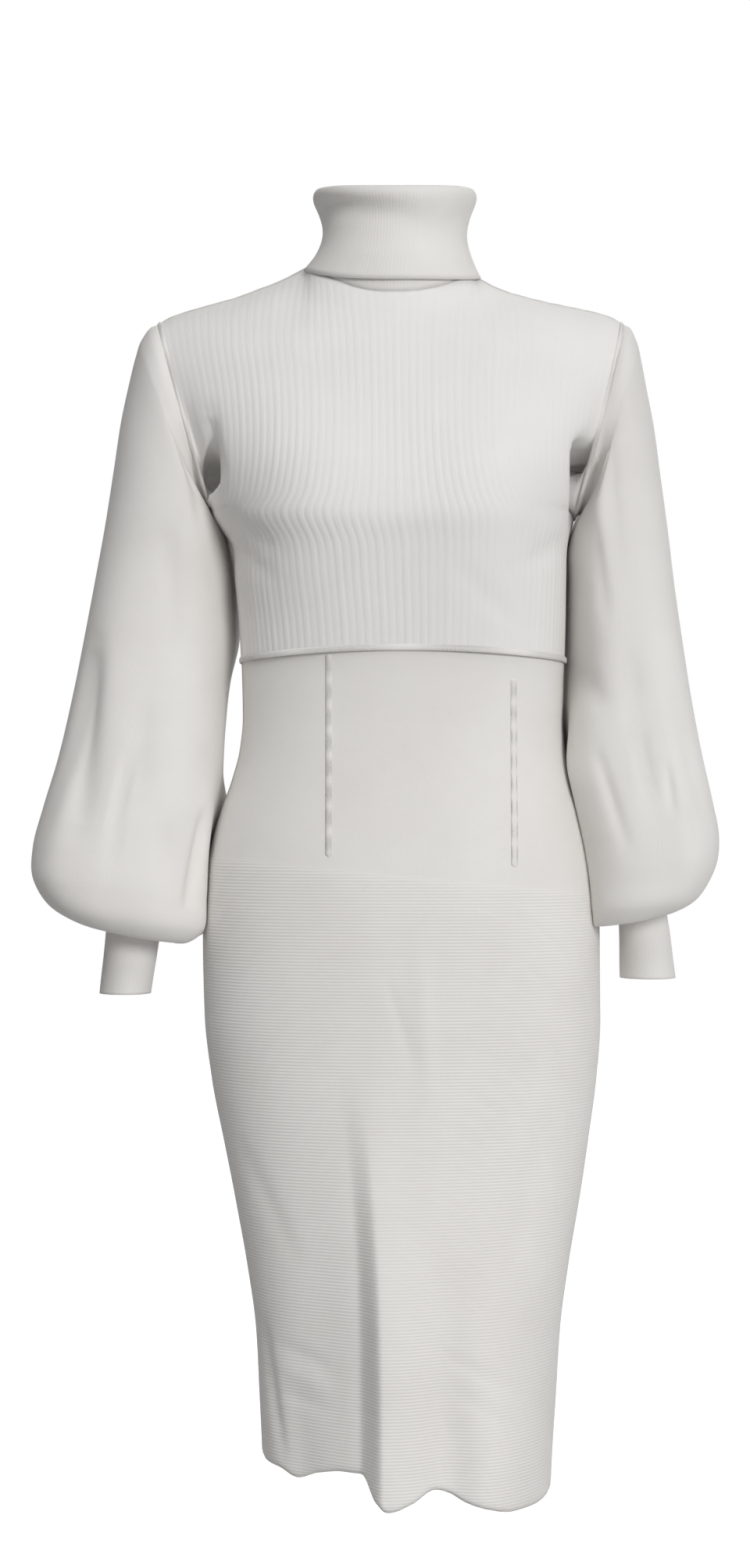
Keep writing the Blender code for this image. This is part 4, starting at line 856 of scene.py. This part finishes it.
SLEEVE_CREASES = {
    LEFT: {
        FRONT: rows_of(
            Crease,
            (-246, -296, -252, -366, -260, -446, 9, 12, 7.0),
            (-219, -384, -226, -424, -232, -474, 2.6, 3.6, 5.0),
            (-158, -434, -163, -470, -171, -514, 3.5, 4.5, 6.0),
            (-190, -440, -186, -474, -178, -504, 8, 9, 2.5),
            (-178, -112, -164, -152, -159, -200, 7, 5, 4.0),
            (-205, -340, -210, -380, -208, -420, 9, 9, 1.6),
            (-190, -200, -180, -250, -184, -310, 9, 9, 1.6),
        ),
        BACK: rows_of(
            Crease,
            (-232, -320, -240, -380, -236, -440, 8, 8, 3.0),
            (-196, -400, -200, -440, -206, -480, 6, 6, 2.6),
            (-170, -120, -160, -170, -164, -230, 8, 6, 3.6),
            (-262, -420, -268, -450, -262, -486, 7, 7, 2.0),
        ),
    },
    RIGHT: {
        FRONT: rows_of(
            Crease,
            (196, -366, 201, -402, 205, -434, 5, 6, 3.2),
            (219, -394, 221, -416, 223, -436, 3, 4, 2.2),
            (162, -382, 172, -420, 187, -466, 5, 6, 2.8),
            (186, -300, 192, -330, 190, -362, 7, 8, 1.6),
            (163, -116, 164, -144, 157, -180, 6, 4, 4.0),
            (158, -190, 163, -230, 171, -282, 6, 7, 3.0),
            (152, -316, 159, -334, 168, -352, 9, 9, 2.6),
            (176, -110, 170, -170, 178, -240, 7, 7, 2.0),
            (236, -430, 240, -450, 238, -474, 7, 7, 1.6),
        ),
        BACK: rows_of(
            Crease,
            (208, -330, 214, -390, 210, -450, 8, 8, 3.0),
            (180, -390, 186, -430, 190, -476, 6, 6, 2.6),
            (164, -130, 158, -180, 164, -240, 8, 6, 3.6),
        ),
    },
}
SLEEVE_COLUMNS, SLEEVE_ROWS = 184, 160
SLEEVE_LENGTH = 520
GATHERS, GATHER_DEPTH, GATHER_REACH = 26, 1.3, 16.0
GATHER_DRIFT, GATHER_DRIFT_WAVES = 0.5, 5
Cuff = namedtuple("Cuff", "top_x top_y top_z end_x end_y top_half end_half depth_ratio")
CUFFS = {
    LEFT: Cuff(-218.4, -2, -527, -225.0, -6, 22.6, 21.2, 1.18),
    RIGHT: Cuff(203.8, -2, -514, 208.6, -6, 19.7, 23.0, 1.22),
}
CUFF_LENGTH = 57.5


def sleeve_ring(ring, angles):
    """A ring of a sleeve; angles run from its outer side round by the front."""
    outer = np.array([ring.out_x, 0.0, ring.out_z])
    body = np.array([ring.in_x, 0.0, ring.in_z])
    along, across = np.cos(np.radians(angles)), np.sin(np.radians(angles))
    side = LEFT if ring.in_x < 0 else RIGHT
    outer_squareness = SLEEVE_SQUARENESS - SLEEVE_FLATTENING * ease(
        (FLATTENING_TOP - ring.out_z) / FLATTENING_RUN)
    body_squareness = 1 - (1 - BODY_SIDE_SQUARENESS[side]) * ease(
        (BODY_SIDE_TOP - ring.out_z) / BODY_SIDE_RUN)
    squareness = np.where(along > 0, outer_squareness, body_squareness)
    along = np.sign(along) * np.abs(along) ** squareness
    swing = (-np.sign(across) * np.abs(across) ** squareness
             * np.where(across > 0, ring.front, ring.back)
             + ring.tuck * np.maximum(-along, 0) ** TUCK_START)
    lap = (HIP_LAP * ease((HIP_LAP_TOP[side] - ring.out_z) / HIP_LAP_GROWTH)
           * np.maximum(-along, 0) ** 2
           * ease((np.abs(swing) - HIP_LAP_START) / HIP_LAP_RUN) * np.sign(-body[0]))
    return ((outer + body) / 2 + along[:, None] * (outer - body) / 2
            + swing[:, None] * np.array([0.0, 1.0, 0.0])
            + lap[:, None] * np.array([1.0, 0.0, 0.0]))


def cuff_ring(cuff, side, share, angles):
    """A ring of a cuff, from its seam with the sleeve, 0, to its open end, 1."""
    turn = np.radians(angles)
    half = cuff.top_half + (cuff.end_half - cuff.top_half) * share
    middle = np.array([cuff.top_x + (cuff.end_x - cuff.top_x) * share,
                       cuff.top_y + (cuff.end_y - cuff.top_y) * share,
                       cuff.top_z - CUFF_LENGTH * share])
    return middle + half * np.stack([side * np.cos(turn), -cuff.depth_ratio * np.sin(turn),
                                     0 * turn], axis=-1)


def armhole_loop(side, angles):
    """The armhole edge of both bodice panels and its normals, at angles round the sleeve."""
    column = 0 if side == LEFT else -1
    points, ways = [], []
    for panel, wanted in ((FRONT, angles), (BACK, 360 - angles)):
        surface, normals, edge_angles = bodice_edges[panel]
        last = int(np.argmax(edge_angles >= 180)) + 1
        for found, source in ((points, surface), (ways, normals)):
            found.append(np.column_stack([
                np.interp(wanted, edge_angles[:last], source[:last, column, k])
                for k in range(3)]))
    front = (angles <= 180)[:, None]
    return np.where(front, points[0], points[1]), np.where(front, ways[0], ways[1])


sleeve_knit = yarn_material("jersey, sleeve", JERSEY_WALES, SLEEVE_LENGTH / COURSE,
                            JERSEY_RELIEF)
sleeve_starts = {}
angles = np.linspace(0, 360, SLEEVE_COLUMNS, endpoint=False)
for side, word in ((LEFT, "left"), (RIGHT, "right")):
    loop, loop_normals = armhole_loop(side, angles)
    start = loop + np.array([side * SEAM_GAP, 0.0, 0.0])
    rings = [start] + [sleeve_ring(ring, angles) for ring in SLEEVE_RINGS[side]]
    rings.append(cuff_ring(CUFFS[side], side, 0.0, angles) + np.array([0.0, 0.0, SEAM_GAP]))
    sleeve, row_place = soft_rows(rings, SLEEVE_ROWS)
    from_axis = sleeve - sleeve.mean(axis=1, keepdims=True)
    normals = outward_normals(sleeve, True, from_axis)
    hold = (ease(row_place) * ease(len(rings) - 2.0 - row_place))[:, None]
    push = np.zeros(sleeve.shape[:2])
    for fold in SLEEVE_FOLDS[side]:
        away = (angles - fold.angle + 180) % 360 - 180
        push += (fold.depth * hump(away, fold.half_angle)
                 * hump(sleeve[..., 2] - fold.height, fold.half_height))
    folded = sleeve - push[..., None] * normals
    for panel in (FRONT, BACK):
        normals = outward_normals(folded, True, from_axis)
        folded = creased(folded, normals, SLEEVE_CREASES[side][panel], panel)
    sleeve = sleeve + (folded - sleeve) * hold[..., None]
    to_cuff = np.linalg.norm(sleeve - sleeve[-1:], axis=2)
    drift = GATHER_DRIFT * np.sin(np.radians(angles) * GATHER_DRIFT_WAVES)
    pleat = np.abs(np.sin(np.radians(angles) * GATHERS / 2 + drift))
    gather = GATHER_DEPTH * (pleat - 0.5) * np.exp(-(to_cuff / GATHER_REACH) ** 2)
    sleeve = sleeve + gather[..., None] * outward_normals(sleeve, True, from_axis)
    sleeve_starts[side] = (loop, unit(loop_normals
                                      + outward_normals(sleeve, True, from_axis)[1]))
    axis = sleeve.mean(axis=1)

    def from_sleeve_axis(at, axis=axis):
        nearest = np.abs(at[:, None, 2] - axis[None, :, 2]).argmin(axis=1)
        return at - axis[nearest]

    knitted("knit_sleeve_" + word, sleeve, True, from_sleeve_axis,
                                  sleeve_knit, ["sleeve_" + word])

# ==================================================================== cuffs
# Long narrow cuffs of fine rib, linked to the gathered end of each sleeve and open below.
CUFF_RIBS = 60
CUFF_ROWS = 26
CUFF_WAVE, CUFF_WAVES_ROUND, CUFF_WAVE_DOWN = 0.35, 3, 5   # how it puckers on the wrist
cuff_knit = yarn_material("fine rib, cuff", CUFF_RIBS * 2, CUFF_LENGTH / COURSE,
                          FINE_RIB_RELIEF)
fine_angles = np.linspace(0, 360, CUFF_RIBS * COLUMNS_PER_FINE_RIB, endpoint=False)
for side, word in ((LEFT, "left"), (RIGHT, "right")):
    shares = np.linspace(0, 1, CUFF_ROWS)
    cuff = np.array([cuff_ring(CUFFS[side], side, share, fine_angles) for share in shares])
    from_axis = cuff - cuff.mean(axis=1, keepdims=True)
    normals = outward_normals(cuff, True, from_axis)
    wave = (CUFF_WAVE * np.sin(np.radians(fine_angles) * CUFF_WAVES_ROUND + side)
            * np.sin(shares * CUFF_WAVE_DOWN)[:, None])
    raised = FINE_RIB_HEIGHT * fine_ribs(len(fine_angles)) + wave
    cuff = cuff + raised[..., None] * normals
    middle = cuff.mean(axis=(0, 1))
    knitted(
        "knit_cuff_" + word, cuff, True,
        lambda at, middle=middle: (at - middle) * np.array([1.0, 1.0, 0.0]),
        cuff_knit, ["cuff_" + word])

# ==================================================================== raised linked seams
# The panels are linked with a chain of doubled yarn that stands up as a narrow ridge: a broad
# one round the waist, two down the front of the waist, and thin ones at every other seam.
LINK_PITCH, LINK_DEPTH = 3.2, 0.10         # length and waist of one linking stitch
LINK_WALES, LINK_COURSES, LINK_RELIEF = 4, 400, 0.12
END_TAPER, NEXT_TAPER = 0.02, 0.75         # an open ridge closes over its last two rings
PART_SIZE = 4000
Ridge = namedtuple("Ridge", "half_width height sink turns")
WAIST_RIDGE, ARMHOLE_RIDGE = Ridge(2.6, 2.2, 0.1, 14), Ridge(1.9, 2.4, 0.9, 12)
THIN_RIDGE, NECKLINE_RIDGE = Ridge(1.0, 1.2, 0.6, 10), Ridge(0.8, 0.4, 0.28, 10)
FRONT_RIDGES = {"left": Ridge(2.6, 2.0, 0.4, 14), "right": Ridge(3.0, 1.4, 0.4, 14)}
linked_knit = yarn_material("linked chain", LINK_WALES, LINK_COURSES, LINK_RELIEF)


def linked_ridge(name, path, out, ridge, closed, nodes=()):
    """A rounded chain of links along a path; out points off the cloth at each point."""
    if closed:
        along = unit(np.roll(path, -1, axis=0) - np.roll(path, 1, axis=0))
    else:
        along = unit(np.gradient(path, axis=0))
    out = unit(out - np.sum(out * along, axis=1, keepdims=True) * along)
    beside = np.cross(along, out)
    lengths = np.concatenate([[0], np.cumsum(np.linalg.norm(np.diff(path, axis=0), axis=1))])
    bulge = np.abs(np.sin(math.pi * lengths / LINK_PITCH))[None, :, None]
    link = 1 - LINK_DEPTH + LINK_DEPTH * bulge
    turn = np.linspace(0, 2 * math.pi, ridge.turns, endpoint=False)[:, None, None]
    section = (ridge.half_width * np.cos(turn) * beside
               + (ridge.height / 2) * np.sin(turn) * out) * link
    if not closed:
        taper = np.ones(len(path))
        taper[0] = taper[-1] = END_TAPER
        taper[1] = taper[-2] = NEXT_TAPER
        section = section * taper[None, :, None]
    axis = path + (ridge.height / 2 - ridge.sink) * out
    grid = axis + section

    def from_path(at):
        found = np.empty_like(at)
        for k in range(0, len(at), PART_SIZE):
            part = at[k:k + PART_SIZE]
            gap = ((part[:, None] - axis[None]) ** 2).sum(axis=2)
            found[k:k + PART_SIZE] = part - axis[gap.argmin(axis=1)]
        return found

    return knitted(name, grid, closed, from_path, linked_knit, nodes,
                   thickness=0, round_section=True)


front_waist, front_out = bodice_edges[FRONT][0][-1], bodice_edges[FRONT][1][-1]
back_waist, back_out = bodice_edges[BACK][0][-1], bodice_edges[BACK][1][-1]
waist_path = np.concatenate([front_waist[:-1], back_waist[::-1][:-1]])
waist_out = np.concatenate([front_out[:-1], back_out[::-1][:-1]]) * np.array([1.0, 1.0, 0.0])
waist_ridge = linked_ridge("linked_waist_ridge", waist_path, waist_out, WAIST_RIDGE, True,
                           ["waist_ridge"])

RIDGE_REACH = {"left": -55.0, "right": 94.0}
RIDGE_FIRST_SHARE = {"left": 0.006, "right": 0.034}
RIDGE_LAST_SHARE = 0.25
FRONT_RIDGE_POINTS, SIDE_POINTS, SHOULDER_POINTS = 140, 420, 160
front_skirt = skirt_surfaces[FRONT]
front_skirt_out = outward_normals(front_skirt, False, np.array([0.0, FRONT, 0.0]))
for word, reach in RIDGE_REACH.items():
    first = int(RIDGE_FIRST_SHARE[word] * len(front_skirt))
    path, out = [], []
    for row in range(first, int(RIDGE_LAST_SHARE * len(front_skirt)) + 1):
        at = front_skirt[row, :, 0]
        path.append([np.interp(reach, at, front_skirt[row, :, k]) for k in range(3)])
        out.append([np.interp(reach, at, front_skirt_out[row, :, k]) for k in range(3)])
    path, out = (spread_evenly(np.array(line), FRONT_RIDGE_POINTS) for line in (path, out))
    linked_ridge("linked_front_ridge_" + word, path, out,
                                     FRONT_RIDGES[word], False, ["front_ridge_" + word])

for side, word in ((LEFT, "left"), (RIGHT, "right")):
    loop, out = sleeve_starts[side]
    linked_ridge("linked_armhole_" + word, loop, out,
                                            ARMHOLE_RIDGE, True)
    column = 0 if side == LEFT else -1
    angles_down = bodice_edges[FRONT][2]
    under = int(np.argmax(angles_down >= 180))
    side_path = np.concatenate([bodice_edges[FRONT][0][under:-1, column],
                                skirt_surfaces[FRONT][1:, column]])
    side_path[:, 1] = 0.0
    side_path = spread_evenly(side_path, SIDE_POINTS)
    side_out = np.tile(np.array([float(side), 0.0, 0.0]), (len(side_path), 1))
    linked_ridge("linked_side_" + word, side_path, side_out,
                                         THIN_RIDGE, False)
    place = np.linspace(1.0, RIBS_AT_NECKLINE / RIBS, SHOULDER_POINTS) * side
    shoulder_path = top_edge(FRONT, place)[2:-2]
    shoulder_path[:, 1] = 0.0
    up = np.tile(np.array([0.0, 0.0, 1.0]), (len(shoulder_path), 1))
    linked_ridge("linked_shoulder_" + word, shoulder_path, up,
                                             THIN_RIDGE, False)
NECKLINE_RISE = 0.8
neck_out = unit(np.array([0.0, 0.0, NECKLINE_RISE]) - to_neck)
linked_ridge("linked_neckline", seam, neck_out, NECKLINE_RIDGE, True)

# ==================================================================== studio
# A pale floor under the hanging dress, and white light all round with three broad lamps: the
# key low at the front right, one high at the front left and one behind. The camera is level
# with the hips.
FLOOR_HEIGHT, FLOOR_RADIUS = -1.45, 9.0
BACKGROUND = 1.0
SKY, SKY_LEAN = 0.258, 0.4       # the right side of the room is the brighter one
FLOOR_SEEN, FLOOR_GLOW, FLOOR_BOUNCE, FLOOR_LEAN = 0.92, 0.55, 0.64, 0.2
FLOOR_LEAN_REACH, FLOOR_SEGMENTS = 2.0, 96
MOTTLE_SCALE, MOTTLE_DEPTH = 3.0, 0.01
Lamp = namedtuple("Lamp", "name strength azimuth elevation spread")
LAMPS = (Lamp("key", 1.46, 27.0, 17.0, 20.0), Lamp("overhead", 0.79, -24.0, 58.0, 40.0),
         Lamp("behind", 0.80, 170.0, 30.0, 40.0))
FRAME_HEIGHT, CAMERA_DISTANCE = 1.305, 2.6
CAMERA_X, CAMERA_Z = -0.018, -0.411
SENSOR = 36.0

form = bmesh.new()
bmesh.ops.create_circle(form, cap_ends=True, radius=FLOOR_RADIUS,
                       segments=FLOOR_SEGMENTS)
bmesh.ops.translate(form, verts=form.verts, vec=(0.0, 0.0, FLOOR_HEIGHT))
bmesh.ops.recalc_face_normals(form, faces=form.faces)
floor_mesh = bpy.data.meshes.new("floor")
form.to_mesh(floor_mesh)
form.free()
floor_material = bpy.data.materials.new("pale floor")
floor_material.use_nodes = True
floor_shade = Shade(floor_material.node_tree)
mottle = floor_shade.node("TexNoise", (), {"Scale": MOTTLE_SCALE})
pale = floor_shade.node("Mix", {"data_type": "RGBA"}, {
    0: mottle, 6: (FLOOR_SEEN - MOTTLE_DEPTH,) * 3 + (1.0,),
    7: (FLOOR_SEEN,) * 3 + (1.0,)}, 2)
looked_at = floor_shade.node("LightPath", (), (), "Is Camera Ray")
plain = floor_shade.node("BsdfDiffuse", (), {"Color": pale})
glow = floor_shade.node("Emission", (), {"Strength": FLOOR_GLOW})
bright = floor_shade.node("AddShader", (), {0: plain, 1: glow})
on_floor = floor_shade.node("TexCoord", (), (), "Object")
reach = floor_shade.node("SeparateXYZ", (), {0: on_floor})
share = floor_shade.node("MapRange", (), {
    0: reach, 1: -FLOOR_LEAN_REACH, 2: FLOOR_LEAN_REACH, 3: FLOOR_BOUNCE - FLOOR_LEAN,
    4: FLOOR_BOUNCE + FLOOR_LEAN})
bounce = floor_shade.node("BsdfDiffuse", (), {"Color": share})
paved = floor_shade.node("MixShader", (), {0: looked_at, 1: bounce, 2: bright})
floor_output = floor_material.node_tree.nodes["Material Output"]
floor_material.node_tree.links.new(paved.socket, floor_output.inputs["Surface"])
floor_mesh.materials.append(floor_material)
floor = placed("floor", floor_mesh)

world = bpy.data.worlds.new("studio")
world.use_nodes = True
bpy.context.scene.world = world
sky = Shade(world.node_tree)
seen = sky.node("LightPath", (), (), "Is Camera Ray")
world_background = world.node_tree.nodes["Background"]
world_background.inputs["Color"].default_value = (1.0, 1.0, 1.0, 1.0)
toward = sky.node("TexCoord", (), (), "Generated")
rightward = sky.node("SeparateXYZ", (), {0: toward})
around = rightward * (SKY * SKY_LEAN) + SKY
brightness = (1.0 - seen) * around + seen * BACKGROUND
world.node_tree.links.new(brightness.socket, world_background.inputs["Strength"])

for lamp in LAMPS:
    light = bpy.data.lights.new(lamp.name, "SUN")
    light.energy = lamp.strength
    light.angle = math.radians(lamp.spread)
    stand = placed(lamp.name, light)
    stand.rotation_euler = (math.radians(90 - lamp.elevation), 0.0, math.radians(lamp.azimuth))

camera_data = bpy.data.cameras.new("camera")
camera_data.sensor_width = SENSOR
camera_data.lens = SENSOR * CAMERA_DISTANCE / FRAME_HEIGHT
camera = placed("camera", camera_data)
camera.location = (CAMERA_X, -CAMERA_DISTANCE, CAMERA_Z)
camera.rotation_euler = (math.radians(90), 0.0, 0.0)
bpy.context.scene.camera = camera
bpy.context.scene.view_settings.view_transform = "Standard"
